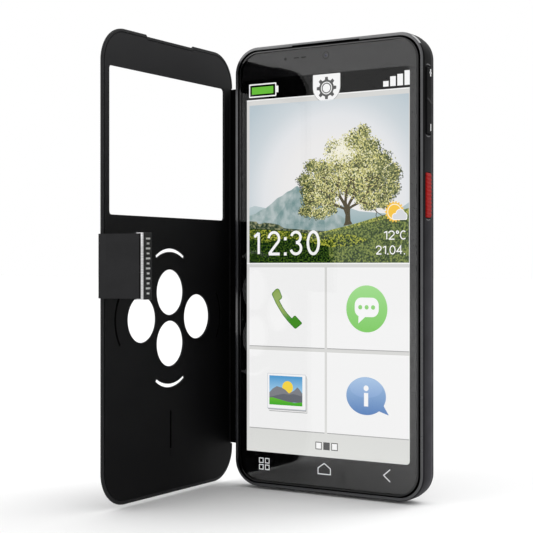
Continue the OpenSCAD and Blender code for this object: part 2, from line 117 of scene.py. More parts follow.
class Surface:
    """A Principled material whose colour, roughness and bump come from procedural nodes."""

    def __init__(self, name, colour, rough, metal=0, **sockets):
        self.material = bpy.data.materials.new(name)
        self.material.use_nodes = True
        self.nodes = self.material.node_tree.nodes
        self.links = self.material.node_tree.links
        self.shader = self.nodes["Principled BSDF"]
        fill(self.shader, Base_Color=colour, Roughness=rough, Metallic=metal, **sockets)
        self.colour, self.rough = colour, rough
        self.place = self.node("TexCoord").outputs["Object"]

    def node(self, kind, **values):
        return fill(self.nodes.new("ShaderNode" + kind), **values)

    def drive(self, socket, output):
        """Lets an output set a socket of the shader."""
        self.links.new(output, self.shader.inputs[socket])
        return self

    def vector(self, operation, first, second=None):
        """Vector maths on an output and a constant or another output."""
        made = self.node("VectorMath")
        made.operation = operation
        self.links.new(first, made.inputs[0])
        if isinstance(second, tuple):
            made.inputs[1].default_value = second
        elif second is not None:
            self.links.new(second, made.inputs[1])
        return made

    def noise(self, size, detail=3, stretch=(1, 1, 1)):
        """Noise whose blotches are about size millimetres across."""
        mapping = self.node("Mapping", Scale=[s / (size * MM) for s in stretch])
        self.links.new(self.place, mapping.inputs["Vector"])
        texture = self.node("TexNoise", Scale=1, Detail=detail)
        self.links.new(mapping.outputs[0], texture.inputs["Vector"])
        return texture.outputs["Fac"]

    def cells(self, size):
        """Voronoi cells about size millimetres across, such as leather grain."""
        texture = self.node("TexVoronoi", Scale=1 / (size * MM))
        self.links.new(self.place, texture.inputs["Vector"])
        return texture.outputs["Distance"]

    def ramp(self, value, stops):
        """Colour ramp over value with stops of (position, colour)."""
        node = self.node("ValToRGB")
        elements = node.color_ramp.elements
        while len(elements) < len(stops):
            elements.new(0.5)
        for element, (position, colour) in zip(elements, stops):
            element.position, element.color = position, colour
        self.links.new(value, node.inputs["Fac"])
        return node.outputs["Color"]

    def along(self, axis, start, end):
        """0 to 1 from start to end millimetres along an axis of the row frame."""
        parts = self.node("SeparateXYZ")
        self.links.new(self.place, parts.inputs[0])
        span = self.node("MapRange", From_Min=start * MM, From_Max=end * MM)
        self.links.new(parts.outputs[axis], span.inputs["Value"])
        return span.outputs[0]

    def vary(self, size, colour=0.12, rough=0.06, stretch=(1, 1, 1)):
        """Slow changes of colour and roughness, as handling and moulding leave."""
        value = self.noise(size, 4, stretch)
        stops = [(0.3, shade(self.colour, 1 - colour)), (0.7, shade(self.colour, 1 + colour))]
        spread = self.node("MapRange", From_Min=0.3, From_Max=0.7,
                           To_Min=max(0, self.rough - rough), To_Max=self.rough + rough)
        self.links.new(value, spread.inputs["Value"])
        return self.drive("Base Color", self.ramp(value, stops)).drive("Roughness", spread.outputs[0])

    def bump(self, height, depth):
        """Relief of depth millimetres."""
        node = self.node("Bump", Distance=depth * MM, Strength=1)
        self.links.new(height, node.inputs["Height"])
        return self.drive("Normal", node.outputs[0])

    def tilted(self, slope):
        """Leans the shading normal a little to one side, the same all over the surface."""
        leaning = self.vector("ADD", self.place.node.outputs["Normal"], (-slope, 0, 0))
        return self.drive("Normal", self.vector("NORMALIZE", leaning.outputs[0]).outputs[0])


def glowing(name, colour_of):
    """A patch of the screen, which only glows, in a colour or in what colour_of makes."""
    made = Surface(name, grey(0), 0.6, Specular_IOR_Level=0)
    fill(made.shader, Emission_Strength=1)
    if callable(colour_of):
        return made.drive("Emission Color", colour_of(made)).material
    fill(made.shader, Emission_Color=colour_of)
    return made.material


def lit_around(name, centre, stops, reach):
    """A patch of the screen whose colour depends on how far it is from a centre (x, z)."""
    def colour_of(made):
        point = (centre[0] * MM, SCREEN_Y * MM, centre[1] * MM)
        apart = made.vector("DISTANCE", made.place, point)
        share = made.node("MapRange", From_Max=reach * MM)
        made.links.new(apart.outputs["Value"], share.inputs["Value"])
        return made.ramp(share.outputs[0], stops)
    return glowing(name, colour_of)


def plastic(name, colour, rough, grain=0.25, depth=0.02, shine=0.5):
    made = Surface(name, colour, rough, Specular_IOR_Level=shine).vary(9)
    return made.bump(made.noise(grain, 2), depth).material


def metal(name, colour, rough, stretch=(1, 1, 12)):
    made = Surface(name, colour, rough, 1).vary(3, 0.15, 0.08, stretch)
    return made.bump(made.noise(0.4, 2, stretch), 0.004).material


def leather(name, colour, rough, grain=0.35, depth=0.03, shine=0.3):
    made = Surface(name, colour, rough, Specular_IOR_Level=shine).vary(6, 0.15)
    return made.bump(made.cells(grain), depth).material


def lit(name, *rgb):
    """A patch of the screen in one display colour."""
    return glowing(name, srgb(*rgb))


def lit_fade(name, low, high, z0, z1):
    """A patch of the screen that fades upwards from one display colour to another."""
    stops = [(0, srgb(*low)), (1, srgb(*high))]
    return glowing(name, lambda made: made.ramp(made.along(Z, z0, z1), stops))


def graphite(name, low, high, rough, shine):
    """Dark plastic with painted light and shade: lighter towards the foot of the phone and darker towards
    its front.
    """
    made = Surface(name, high, rough, Specular_IOR_Level=shine).vary(9)
    # painted shade: the plastic darkens from 60 mm up to 125 mm and is lighter at the foot
    fade = made.ramp(made.along(Z, 60, 125), [(0, low), (1, high)])
    blotch = made.ramp(made.noise(7), [(0.3, grey(0.8)), (0.7, grey(1.15))])
    # painted shade: darker towards the front of the side wall
    deep = made.ramp(made.along(Y, FRONT_Y, PART_Y), [(0.1, grey(0.35)), (1, grey(1))])
    mixed = made.vector("MULTIPLY", fade, blotch)
    made.drive("Base Color", made.vector("MULTIPLY", mixed.outputs[0], deep).outputs[0])
    return made.bump(made.noise(0.25, 2), 0.02).material


def glossy(name, colour, rough, shine):
    """Smooth hard surface whose gloss comes from the lights."""
    made = Surface(name, colour, rough, Specular_IOR_Level=shine).vary(6)
    return made.bump(made.noise(0.25, 2), 0.008).material


def make_lining_painted_light():
    """Smooth lining with painted light: a little lighter towards the top of the flap."""
    made = Surface("flap_lining", srgb(16, 16, 17), 0.5, Specular_IOR_Level=0.06).vary(25, 0.1, 0.05)
    # painted light: the lining lightens from 70 mm up to 146 mm
    stops = [(0, srgb(13, 13, 14)), (1, srgb(38, 38, 39))]
    made.drive("Base Color", made.ramp(made.along(Z, 70, 146), stops))
    return made.bump(made.noise(0.18, 2), 0.012).material


# frame plastic with painted shade along its height and towards its front
GRAPHITE_PAINTED_SHADE = graphite("graphite_frame_painted_shade", srgb(57, 56, 61), srgb(17, 17, 18), 0.45, 0.03)
RIM = glossy("graphite_rim", srgb(42, 43, 46), 0.22, 0.9)
GLASS_EDGE = glossy("glass_edge", srgb(17, 17, 18), 0.12, 0.5)
# painted shade: near-black without gloss, put in grooves, gaps, slots and recesses where shade falls
GROOVE_PAINTED_SHADE = Surface("groove_painted_shade", srgb(3, 3, 3), 0.9, Specular_IOR_Level=0).vary(4).material
SHELL = plastic("graphite_shell", srgb(30, 30, 33), 0.5, 0.3, 0.035, 0.2)
BLACK = plastic("black_plastic", srgb(10, 10, 11), 0.5, shine=0.15)
BLACK_GLOSS = Surface("black_gloss", srgb(8, 8, 10), 0.08, Coat_Weight=0.3).material
RED = plastic("red_plastic", srgb(140, 16, 14), 0.5, shine=0.06)
# lining with painted light towards the top of the flap
LINING_PAINTED_LIGHT = make_lining_painted_light()
SPINE = leather("spine_leather", srgb(5, 5, 5), 0.6, shine=0.03)
OUTER = leather("cover_leather", srgb(25, 25, 27), 0.6, shine=0.08)
HEM = leather("cover_hem", srgb(32, 32, 33), 0.5, shine=0.12)
STRAP = Surface("strap_leather", srgb(36, 36, 37), 0.6, Specular_IOR_Level=0.08).vary(6)
STRAP = STRAP.bump(STRAP.cells(0.5), 0.02).material
CLIP = metal("clip_metal", srgb(50, 50, 51), 0.5)
CLIP_EDGE = metal("clip_edge", srgb(190, 190, 191), 0.3)
DULL = metal("dull_metal", srgb(178, 178, 180), 0.35)
GOLD = metal("gold_contact", srgb(214, 176, 92), 0.25)
STEEL = metal("screw_steel", srgb(150, 150, 154), 0.3)
# painted highlight: the lit edges at the ends of the key slots
SLOT_EDGE_HIGHLIGHT = plastic("slot_edge_painted_highlight", srgb(66, 66, 68), 0.4)
# the chevron ridge's plastic is lighter than the rocker's: a painted highlight along the ridge
CHEVRON_PAINTED_HIGHLIGHT = plastic("chevron", srgb(46, 46, 47), 0.5, shine=0.1)
WHITE_PAINT = plastic("white_paint", srgb(225, 225, 225), 0.5)


# ---- mesh helpers; every point is given in millimetres of the row frame ----

@contextlib.contextmanager
def edited(mesh):
    """Opens a mesh for editing and writes it back at the end of the block."""
    opened = bmesh.new()
    opened.from_mesh(mesh)
    yield opened
    opened.to_mesh(mesh)
    opened.free()


def place(name, mesh, materials, body, stands_for=(), angle=35):
    """Puts a finished mesh in the scene, riding on its body."""
    mesh.name = name
    mesh.polygons.foreach_set("use_smooth", [True] * len(mesh.polygons))
    mesh.set_sharp_from_angle(angle=math.radians(angle))
    mesh.update()
    made = bpy.data.objects.new(name, mesh)
    bpy.context.scene.collection.objects.link(made)
    if isinstance(materials, bpy.types.Material):
        materials = [materials]
    for material in materials:
        mesh.materials.append(material)
    if body:
        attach(made, body)
    if stands_for:
        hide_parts(*stands_for)
    return made


def place_on_screen(name, mesh, materials, stands_for=()):
    """Places a patch that glows without lighting or showing up in the other pieces."""
    made = place(name, mesh, materials, "phone", stands_for)
    made.visible_diffuse = made.visible_glossy = made.visible_shadow = False


def dress(node, material):
    """Gives a CAD node its material."""
    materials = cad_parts[node].data.materials
    materials.clear()
    materials.append(material)


def mesh_from(points, faces):
    mesh = bpy.data.meshes.new("mesh")
    mesh.from_pydata([[c * MM for c in p] for p in points], [], faces)
    with edited(mesh) as opened:
        bmesh.ops.recalc_face_normals(opened, faces=opened.faces)
    return mesh


def lofted(rings, joined=False):
    """Skin over rings of equally many points, closed by caps or joined end to start."""
    count = len(rings[0])
    points = [p for ring in rings for p in ring]
    faces = []
    for r in range(len(rings) if joined else len(rings) - 1):
        a, b = r * count, (r + 1) % len(rings) * count
        for i in range(count):
            j = (i + 1) % count
            faces.append((a + i, a + j, b + j, b + i))
    if not joined:
        faces.append(tuple(range(count))[::-1])
        faces.append(tuple(range((len(rings) - 1) * count, len(rings) * count)))
    return mesh_from(points, faces)


def rounded(w, h, r, steps=14, x=0, z=0):
    """Outline of a rounded rectangle as (x, z) points."""
    r = max(0.02, min(r, w / 2, h / 2))
    points = []
    for quarter, (sx, sz) in enumerate([(1, 1), (-1, 1), (-1, -1), (1, -1)]):
        for i in range(steps + 1):
            a = math.pi / 2 * (quarter + i / steps)
            points.append((x + sx * (w / 2 - r) + r * math.cos(a),
                           z + sz * (h / 2 - r) + r * math.sin(a)))
    return points


def box2(x0, x1, z0, z1, r=0.0, steps=5):
    if not r:
        return [(x1, z1), (x0, z1), (x0, z0), (x1, z0)]
    return rounded(x1 - x0, z1 - z0, r, steps, (x0 + x1) / 2, (z0 + z1) / 2)


def disc(x, z, rx, rz=None, steps=48, start=0.0, end=2 * math.pi):
    """Points of an ellipse, or of a stretch of one."""
    rz = rx if rz is None else rz
    whole = abs(end - start - 2 * math.pi) < 1e-9
    count = steps if whole else steps + 1
    return [(x + rx * math.cos(start + (end - start) * i / steps),
             z + rz * math.sin(start + (end - start) * i / steps)) for i in range(count)]


def stroke(points, width, closed=False):
    """Loops that outline a line of that width through the points."""
    half, left, right = width / 2, [], []
    count = len(points)
    for i, (x, z) in enumerate(points):
        before = points[i - 1] if closed or i else points[i]
        after = points[(i + 1) % count] if closed or i < count - 1 else points[i]
        a = Vector((x - before[0], z - before[1]))
        b = Vector((after[0] - x, after[1] - z))
        a = a.normalized() if a.length > 1e-9 else b.normalized()
        b = b.normalized() if b.length > 1e-9 else a
        normal = Vector((-(a + b).y, (a + b).x))
        normal.normalize()
        reach = half / max(0.4, normal.dot(Vector((-a.y, a.x))))
        left.append((x + normal.x * reach, z + normal.y * reach))
        right.append((x - normal.x * reach, z - normal.y * reach))
    if closed:
        return [left, right]
    return [left + right[::-1]]


FACING = {
    # local X, Y and Z of a flat outline in the row frame
    "y": Matrix(((1, 0, 0, 0), (0, 0, -1, 0), (0, 1, 0, 0), (0, 0, 0, 1))),
    "x": Matrix(((0, 0, 1, 0), (1, 0, 0, 0), (0, 1, 0, 0), (0, 0, 0, 1))),
    "z": Matrix.Identity(4),
}


def slab(loops, facing, low, high, bevel=0.0, steps=2):
    """Mesh of a flat outline with holes, between two places along the facing axis."""
    curve = bpy.data.curves.new("outline", "CURVE")
    curve.dimensions = "2D"
    curve.fill_mode = "BOTH"
    curve.extrude = max(0, (high - low) / 2 - bevel) * MM
    curve.bevel_depth = bevel * MM
    curve.bevel_resolution = steps
    curve.offset = -bevel * MM
    for loop in loops:
        spline = curve.splines.new("POLY")
        spline.points.add(len(loop) - 1)
        for point, (a, b) in zip(spline.points, loop):
            point.co = (a * MM, b * MM, 0, 1)
        spline.use_cyclic_u = True
    holder = bpy.data.objects.new("outline", curve)
    bpy.context.scene.collection.objects.link(holder)
    bpy.context.view_layer.update()
    graph = bpy.context.evaluated_depsgraph_get()
    mesh = bpy.data.meshes.new_from_object(holder.evaluated_get(graph))
    mesh.materials.clear()
    bpy.data.objects.remove(holder)
    bpy.data.curves.remove(curve)
    middle = (low + high) / 2 * MM
    shift = {"y": (0, middle, 0), "x": (middle, 0, 0), "z": (0, 0, middle)}[facing]
    mesh.transform(Matrix.Translation(shift) @ FACING[facing])
    with edited(mesh) as opened:
        bmesh.ops.remove_doubles(opened, verts=opened.verts, dist=0.0005 * MM)
    return mesh


def block(low, high, bevel, steps):
    """Box between two corners with rounded edges."""
    mesh = bpy.data.meshes.new("block")
    with edited(mesh) as made:
        bmesh.ops.create_cube(made, size=1)
        for v in made.verts:
            v.co = [((a + b) / 2 + c * (b - a)) * MM for a, b, c in zip(low, high, v.co)]
        bmesh.ops.bevel(made, geom=made.edges[:], offset=bevel * MM, segments=steps,
                        profile=0.5, affect="EDGES")
    return mesh


def rod(axis, centre, radius, low, high, steps=48, bevel=0.0):
    """Round bar along an axis; centre gives its other two coordinates."""
    profile = [(radius - bevel, low), (radius, low + bevel), (radius, high - bevel),
               (radius - bevel, high)] if bevel else [(radius, low), (radius, high)]
    return turned_part(axis, centre, profile, steps)


def turned_part(axis, centre, profile, steps=48):
    """Turned solid along an axis from (radius, place) points."""
    rings = []
    for radius, along in profile:
        ring = []
        for i in range(steps):
            a = 2 * math.pi * i / steps
            u, v = centre[0] + radius * math.cos(a), centre[1] + radius * math.sin(a)
            ring.append({"x": (along, u, v), "y": (u, along, v), "z": (u, v, along)}[axis])
        rings.append(ring)
    return lofted(rings)


def joined(*meshes):
    """One mesh of several, each keeping its material index."""
    mesh = bpy.data.meshes.new("joined")
    with edited(mesh) as whole:
        for part in meshes:
            whole.from_mesh(part)
    return mesh


def carved(mesh, *cutters, operation="DIFFERENCE"):
    """The mesh with the cutters' shapes taken out, or only what lies inside them."""
    scene = bpy.context.scene.collection
    body = bpy.data.objects.new("body", mesh)
    scene.objects.link(body)
    tools = []
    for cutter in cutters:
        tool = bpy.data.objects.new("tool", cutter)
        scene.objects.link(tool)
        tools.append(tool)
        modifier = body.modifiers.new("cut", "BOOLEAN")
        modifier.operation, modifier.object, modifier.solver = operation, tool, "EXACT"
    bpy.context.view_layer.update()
    graph = bpy.context.evaluated_depsgraph_get()
    result = bpy.data.meshes.new_from_object(body.evaluated_get(graph))
    for made in [body, *tools]:
        bpy.data.objects.remove(made)
    return result


def sliced(mesh, places):
    """Cuts faces at some heights without opening them, so that long faces shade evenly."""
    with edited(mesh) as cut:
        for z in places:
            bmesh.ops.bisect_plane(cut, geom=cut.verts[:] + cut.edges[:] + cut.faces[:],
                                   plane_co=(0, 0, z * MM), plane_no=(0, 0, 1), dist=1e-7)


def outline_ring(inset, y, steps=14, w=BODY_W, h=BODY_H, r=CORNER):
    """The phone's outline moved in by inset, at depth y."""
    path = rounded(w - 2 * inset, h - 2 * inset, r - inset, steps, 0, MID_Z)
    return [(x, y, z) for x, z in path]


# ---- phone: frame and glass ----

def key_slot(z, length):
    """Cutter for the slot of a side key."""
    across, along = KEY_W / 2 + SLOT_GAP, length / 2 + SLOT_END_GAP
    return block((32.3, KEY_Y - across, z - along), (37, KEY_Y + across, z + along), 0.5, 4)


def depth_inside(x, z):
    """How far a point of the front lies inside the phone's outline."""
    across = abs(x) - BODY_W / 2 + CORNER
    up = abs(z - MID_Z) - BODY_H / 2 + CORNER
    return CORNER - math.hypot(max(across, 0), max(up, 0)) - min(max(across, up), 0)


def make_frame():
    profile = [(2.2, -4.1), (2.2, -4.2), (1.2, -4.2), (1.17, -4.88), (1.12, RIM_Y),
               (0.36, RIM_Y), (0.28, -4.92), (0.06, -4.45), (0.02, -4.3), (0, -4.1),
               (0, 0.2), (0.04, 0.8), (0.28, PART_Y - 0.15), (0.33, PART_Y - 0.04),
               (0.45, PART_Y), (1.6, PART_Y), (1.6, 0.5), (2.3, 0.3)]
    mesh = lofted([outline_ring(inset, y) for inset, y in profile], joined=True)
    sliced(mesh, [15 + 5 * i for i in range(24)])
    usb = [(x, y + USB_Y) for x, y in rounded(9.1, 3.4, 1.65, 8)]
    earpiece_slit = block((-12.5, -5.6, 145.9), (12.5, -4.6, 146.6), 0.12, 2)
    mesh = carved(mesh, key_slot(ROCKER_Z, ROCKER_L), key_slot(RED_Z, RED_L),
                  slab([usb], "z", -1, 3),
                  rod("z", (JACK_X, JACK_Y), 2.4, -1, 3),
                  rod("z", (MIC_X, JACK_Y), 0.5, -1, 3, 24), earpiece_slit)
    side, rim, dark = range(3)
    for face in mesh.polygons:
        x, y, z = (c / MM for c in face.center)
        if y < -4.15:
            inside = depth_inside(x, z)
            in_slit = abs(x) < 12.6 and 145.85 < z < 146.65 and y > RIM_Y + 0.01
            on_rim = inside > 0.3 or z > TOP_END_Z
            # deep faces under the glass and the earpiece slit get painted shade
            face.material_index = dark if inside > 1.15 or in_slit else rim if on_rim else side
    place("phone_frame", mesh, [GRAPHITE_PAINTED_SHADE, RIM, GROOVE_PAINTED_SHADE], "phone",
          ["mid_frame"], 28)
    make_middle_plate()


def make_middle_plate():
    """The plate and the ribs inside the frame, seen with the back cover off."""
    core = lofted([outline_ring(inset, y) for inset, y in
                   ((2.42, -6), (2.42, -4.14), (1.68, -4.12), (1.68, 6))])
    inner = carved(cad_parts["mid_frame"].data.copy(), core, operation="INTERSECT")
    place("phone_middle_plate", inner, GRAPHITE_PAINTED_SHADE, "phone", ["mid_frame"])


def make_glass():
    """The clear window and the ground edge that closes it all round."""
    glass = Surface("cover_glass", grey(1), 0.0, Transmission_Weight=1, IOR=1.28).tilted(TILT)

    def ring(inset, y):
        return outline_ring(inset, y, 18, GLASS_W, GLASS_H, GLASS_R)

    window = lofted([ring(0.56, y) for y in (GLASS_BACK_Y, FRONT_Y + 0.007)])
    place("front_window", window, glass.material, "phone", ["front_glass"], 30)
    profile = [(0.6, GLASS_BACK_Y), (0.04, GLASS_BACK_Y), (0, GLASS_BACK_Y - 0.05),
               (0, FRONT_Y + 0.42), (0.05, FRONT_Y + 0.26), (0.17, FRONT_Y + 0.12),
               (0.36, FRONT_Y + 0.03), (0.6, FRONT_Y)]
    edge = lofted([ring(inset, y) for inset, y in profile], joined=True)
    sliced(edge, [8, 20, 50, 80, 110, 130, 139])
    for face in edge.polygons:
        x, y, z = (c / MM for c in face.center)
        inner_wall = FRONT_Y + 0.1 < y < -4.4 and depth_inside(x, z) > 2
        # the inner wall of the glass edge gets painted shade
        face.material_index = 1 if inner_wall else 0
    place("front_window_edge", edge, [GLASS_EDGE, GROOVE_PAINTED_SHADE], "phone",
          ["front_glass"], 50)


def make_mask():
    """The black print and gasket behind the glass, open over the screen and the camera."""
    outline = rounded(GLASS_W - 0.5, GLASS_H - 0.5, GLASS_R - 0.25, 14, 0, MID_Z)
    window = box2(-32.0, 30.0, SCREEN_Z, SCREEN_Z + SCREEN_H, 1.2)
    mesh = slab([outline, window, disc(0, LENS_Z, 1.2)], "y", MASK_Y, MASK_Y + 0.1)
    sliced(mesh, [139, 142, 143.4, 144.2, 145])
    ink = Surface("mask_print", srgb(4, 4, 5), 0.04, IOR=1.62).vary(6).tilted(TILT)
    place("screen_mask", mesh, ink.material, "phone", ["glass_gasket"])
    marks = [box2(x - 0.95, x + 0.95, 142.3, 142.7, 0.18) for x in (-11.1, -8.3)]
    marks.append(disc(-15.3, 142.5, 0.5, steps=20))
    mesh = slab(marks, "y", MASK_Y - 0.008, MASK_Y - 0.004)
    place("sensor_windows", mesh, BLACK, "phone")


# ---- screen picture ----

def screen_piece(name, parts):
    """Flat patches of the screen in one object; parts are (layer, material, loops)."""
    meshes, materials = [], []
    for layer, material, loops in parts:
        if material not in materials:
            materials.append(material)
        mesh = slab(loops, "y", 0, 0)
        at = (PICTURE_X * MM, (SCREEN_Y - LAYER * layer) * MM, PICTURE_Z * MM)
        mesh.transform(Matrix.Translation(at))
        mesh.polygons.foreach_set("material_index",
                                  [materials.index(material)] * len(mesh.polygons))
        meshes.append(mesh)
    place_on_screen(name, joined(*meshes), materials)


SIGNS = {
    # strokes of each sign in a box 1 high; the second value is its width
    "0": ([("ring", (0.3, 0.5), (0.3, 0.5))], 0.6),
    "1": ([[(0, 0.8), (0.3, 0.98)], [(0.3, 1), (0.3, 0)]], 0.3),
    "2": ([("arc", (0.3, 0.71), (0.3, 0.29), 175, -28, [(0.02, 0.0)]), [(0, 0), (0.64, 0)]], 0.62),
    "3": ([("arc", (0.28, 0.76), (0.27, 0.24), 165, -90, []),
           ("arc", (0.28, 0.26), (0.3, 0.26), 90, -165, [])], 0.58),
    "4": ([[(0.46, 0), (0.46, 1), (0, 0.3), (0.64, 0.3)]], 0.64),
    "C": ([("arc", (0.32, 0.5), (0.32, 0.5), 48, 312, [])], 0.58),
    "o": ([("ring", (0.12, 0.86), (0.12, 0.14))], 0.24),
    ".": ([("dot", (0.05, 0.0))], 0.1),
    ":": ([("dot", (0.05, 0.0)), ("dot", (0.05, 0.7))], 0.1),
}


def signs(text, x0, x1, z0, z1, weight, gap=0.2):
    """Loops that draw the text with strokes of that weight inside a box on the screen."""
    height = z1 - z0 - weight
    widths = [SIGNS[sign][1] for sign in text]
    unit = (x1 - x0 - weight) / (sum(widths) + gap * (len(text) - 1))
    loops, at = [], x0 + weight / 2

    def spot(x, z):
        return at + x * unit, z0 + weight / 2 + z * height

    for sign, width in zip(text, widths):
        for part in SIGNS[sign][0]:
            if isinstance(part, list):
                loops.append(stroke([spot(*p) for p in part], weight))
                continue
            kind, (x, z) = part[0], spot(*part[1])
            if kind == "dot":
                side = weight * 0.55
                loops.append([box2(x - side, x + side, z - side, z + side)])
                continue
            radii = part[2][0] * unit, part[2][1] * height
            if kind == "ring":
                loops.append(stroke(disc(x, z, *radii, 40), weight, True))
            else:
                path = disc(x, z, *radii, 28, math.radians(part[3]), math.radians(part[4]))
                loops.append(stroke(path + [spot(*p) for p in part[5]], weight))
        at += (width + gap) * unit
    return loops


UI_WHITE = lit("ui_white", 246, 246, 246)
UI_PAPER = lit("ui_paper", 242, 242, 242)
UI_LINE = lit("ui_line", 168, 168, 168)
UI_DARK = lit("ui_dark", 84, 84, 84)
UI_BLACK = Surface("ui_black", (0, 0, 0, 1), 0.5, Specular_IOR_Level=0).material
SCREEN_TOP = SCREEN_Z + SCREEN_H
PICTURE = (-29.7, 29.5, 75.1, 128.08)
TILES = [(-29.6, -0.8, 47.4, 73.5), (0.3, 29.5, 47.4, 73.5),
         (-29.6, -0.8, 19.9, 45.9), (0.3, 29.5, 19.9, 45.9)]


def make_screen():
    left, right = -30.75, 30.2
    base = lit_fade("ui_base", (222, 223, 220), (214, 214, 212), SCREEN_Z, 30)
    parts = [(0, UI_BLACK, [box2(left - 1.8, left, SCREEN_Z - 0.3, SCREEN_TOP + 0.3)]),
             (0, base, [box2(left, right, SCREEN_Z - 0.3, SCREEN_TOP + 0.3)]),
             (1, UI_BLACK, [box2(left, right, 129.9, SCREEN_TOP + 0.3)]),
             (2, UI_WHITE, [box2(left, right, 129.62, 129.95)]),
             (1, UI_WHITE, [box2(left, right, 74.7, 75.1)])]
    for x0, x1, z0, z1 in TILES:
        parts.append((1, UI_LINE, [box2(x0 - 0.05, x1 + 0.05, z0 - 0.3, z1)]))
        parts.append((2, UI_WHITE, [box2(x0 - 0.1, x1 + 0.1, z0, z1 + 0.1)]))
        parts.append((3, UI_PAPER, [box2(x0 + 0.15, x1 - 0.15, z0 + 0.2, z1 - 0.15)]))
    for i, tint in enumerate([UI_WHITE, UI_DARK, UI_WHITE]):
        x = -4.15 + 2.95 * i
        parts.append((1, UI_DARK, [box2(x, x + 2.4, 14.25, 16.75)]))
        parts.append((2, tint, [box2(x + 0.28, x + 2.12, 14.53, 16.47)]))
    screen_piece("screen_home", parts)
    dress("display_panel", BLACK)


def make_status_bar():
    green = lit("ui_battery", 106, 190, 62)
    battery = [box2(-29.85, -19.1, 130.7, 135.25, 0.3), box2(-29.42, -19.53, 131.13, 134.82, 0.1)]
    shield = [(5, 136.45), (-5, 136.45)] + disc(0, 132.4, 5, steps=24, start=math.pi)
    bars = [(20.5, 22.4, 132.5), (22.95, 24.9, 133.85), (25.45, 27.4, 134.4), (27.95, 29.8, 135.35)]
    screen_piece("screen_status", [
        (2, UI_WHITE, battery),
        (2, UI_WHITE, [box2(-19.1, -18.3, 131.9, 134.1, 0.15)]),
        (2, green, [box2(-28.75, -20.3, 131.75, 134.15)]),
        *((2, UI_WHITE, [box2(x0, x1, 130.75, top)]) for x0, x1, top in bars),
        (3, UI_LINE, [[(x * 1.03, z - 0.18) for x, z in shield]]),
        (4, UI_WHITE, [shield]),
        (5, UI_DARK, [gear(0, 131.9, 2.75, 3.65, 8), disc(0, 131.9, 2.05)]),
        (5, UI_DARK, [disc(0, 131.9, 1.75), disc(0, 131.9, 1.4)])])


def gear(x, z, root, tip, teeth):
    points = []
    for i in range(teeth):
        for share, radius in ((-0.28, root), (-0.17, tip), (0.17, tip), (0.28, root)):
            a = 2 * math.pi * (i + share) / teeth
            points.append((x + radius * math.cos(a), z + radius * math.sin(a)))
    return points


def make_icons():
    screen_piece("screen_icons", call_icon() + message_icon() + picture_icon() + info_icon())


def call_icon():
    green = lit_fade("ui_call", (68, 140, 38), (142, 168, 86), 56.6, 59)
    edge = lit("ui_call_edge", 52, 118, 34)
    return [(4, edge, [handset()]), (5, green, [stroke(handset(), 0.5, True)[1]])]


def message_icon():
    green = lit_fade("ui_message", (122, 200, 92), (160, 220, 140), 53, 67.8)
    return [(4, green, [disc(14.65, 60.4, 7.35, 7.5, 64)]),
            (5, UI_WHITE, [rounded(8.6, 6.2, 2.4, 8, 14.65, 60.9)]),
            (5, UI_WHITE, [[(11.75, 58.5), (11.65, 55.7), (14.55, 58.2)]]),
            *((6, green, [disc(14.65 + 2.3 * i, 60.9, 0.72, steps=24)]) for i in (-1, 0, 1))]


def picture_icon():
    """Two prints on a pile, the upper one of mountains behind a meadow."""
    sky = lit_fade("ui_small_sky", (170, 212, 238), (70, 150, 205), 31, 37.7)
    meadow = lit_fade("ui_small_meadow", (64, 168, 48), (120, 196, 60), 27.6, 31.5)
    rock = lit("ui_small_rock", 128, 130, 136)
    dark_rock = lit("ui_small_dark_rock", 104, 108, 116)
    sun = lit("ui_small_sun", 246, 214, 76)
    border = lit("ui_frame_line", 196, 201, 210)
    return [
        (4, UI_LINE, [box2(-21.9, -7.2, 25.7, 37.2, 0.2)]),
        (4.2, UI_PAPER, [box2(-21.9, -7.3, 25.95, 37.2, 0.2)]),
        (4.4, UI_LINE, [box2(-22.3, -7.5, 26.25, 37.9, 0.2)]),
        (4.6, border, [box2(-22.6, -7.72, 26.55, 38.35, 0.3)]),
        (5, UI_WHITE, [box2(-22.45, -7.85, 26.8, 38.2, 0.2)]),
        (6, sky, [box2(-21.8, -9.05, 27.9, 37.6)]),
        (7, sun, [disc(-14.7, 33.9, 2.05)]),
        (8, rock, [[(-21.8, 29), (-9.05, 29), (-9.05, 32.1), (-10.3, 33.6), (-11, 34.1),
                    (-12.1, 33), (-14.2, 31.9), (-15.5, 33), (-16.9, 33.7), (-18.9, 34.1),
                    (-20.5, 33.2), (-21.8, 31.9)]]),
        (9, dark_rock, [[(-21.8, 29), (-21.8, 30.4), (-16.4, 31.7), (-14.2, 31.5), (-12.5, 31.8),
                         (-9.05, 31.2), (-9.05, 29)]]),
        (10, meadow, [[(-21.8, 27.9), (-9.05, 27.9), (-9.05, 29.2), (-12, 28.9), (-15, 29.2),
                       (-18, 29.8), (-20.4, 30.3), (-21.8, 30.2)]])]


def info_icon():
    blue = lit_fade("ui_info", (84, 126, 184), (158, 190, 224), 26.6, 38.6)
    upper = lit_fade("ui_info_gloss", (136, 168, 212), (168, 196, 228), 32.4, 38.4)
    return [(4.5, upper, [disc(14.4, 35.2, 5.9, 3.1, 48)]),
            (4, blue, [disc(14.4, 32.6, 7.1, 6.05, 64)]),
            (4, blue, [[(17.8, 28.4), (20.4, 30.2), (22.5, 26.9)]]),
            (5, UI_WHITE, [disc(14.45, 35.1, 0.9, steps=24)]),
            (5, UI_WHITE, [box2(13.7, 15.2, 29.3, 33.6)])]


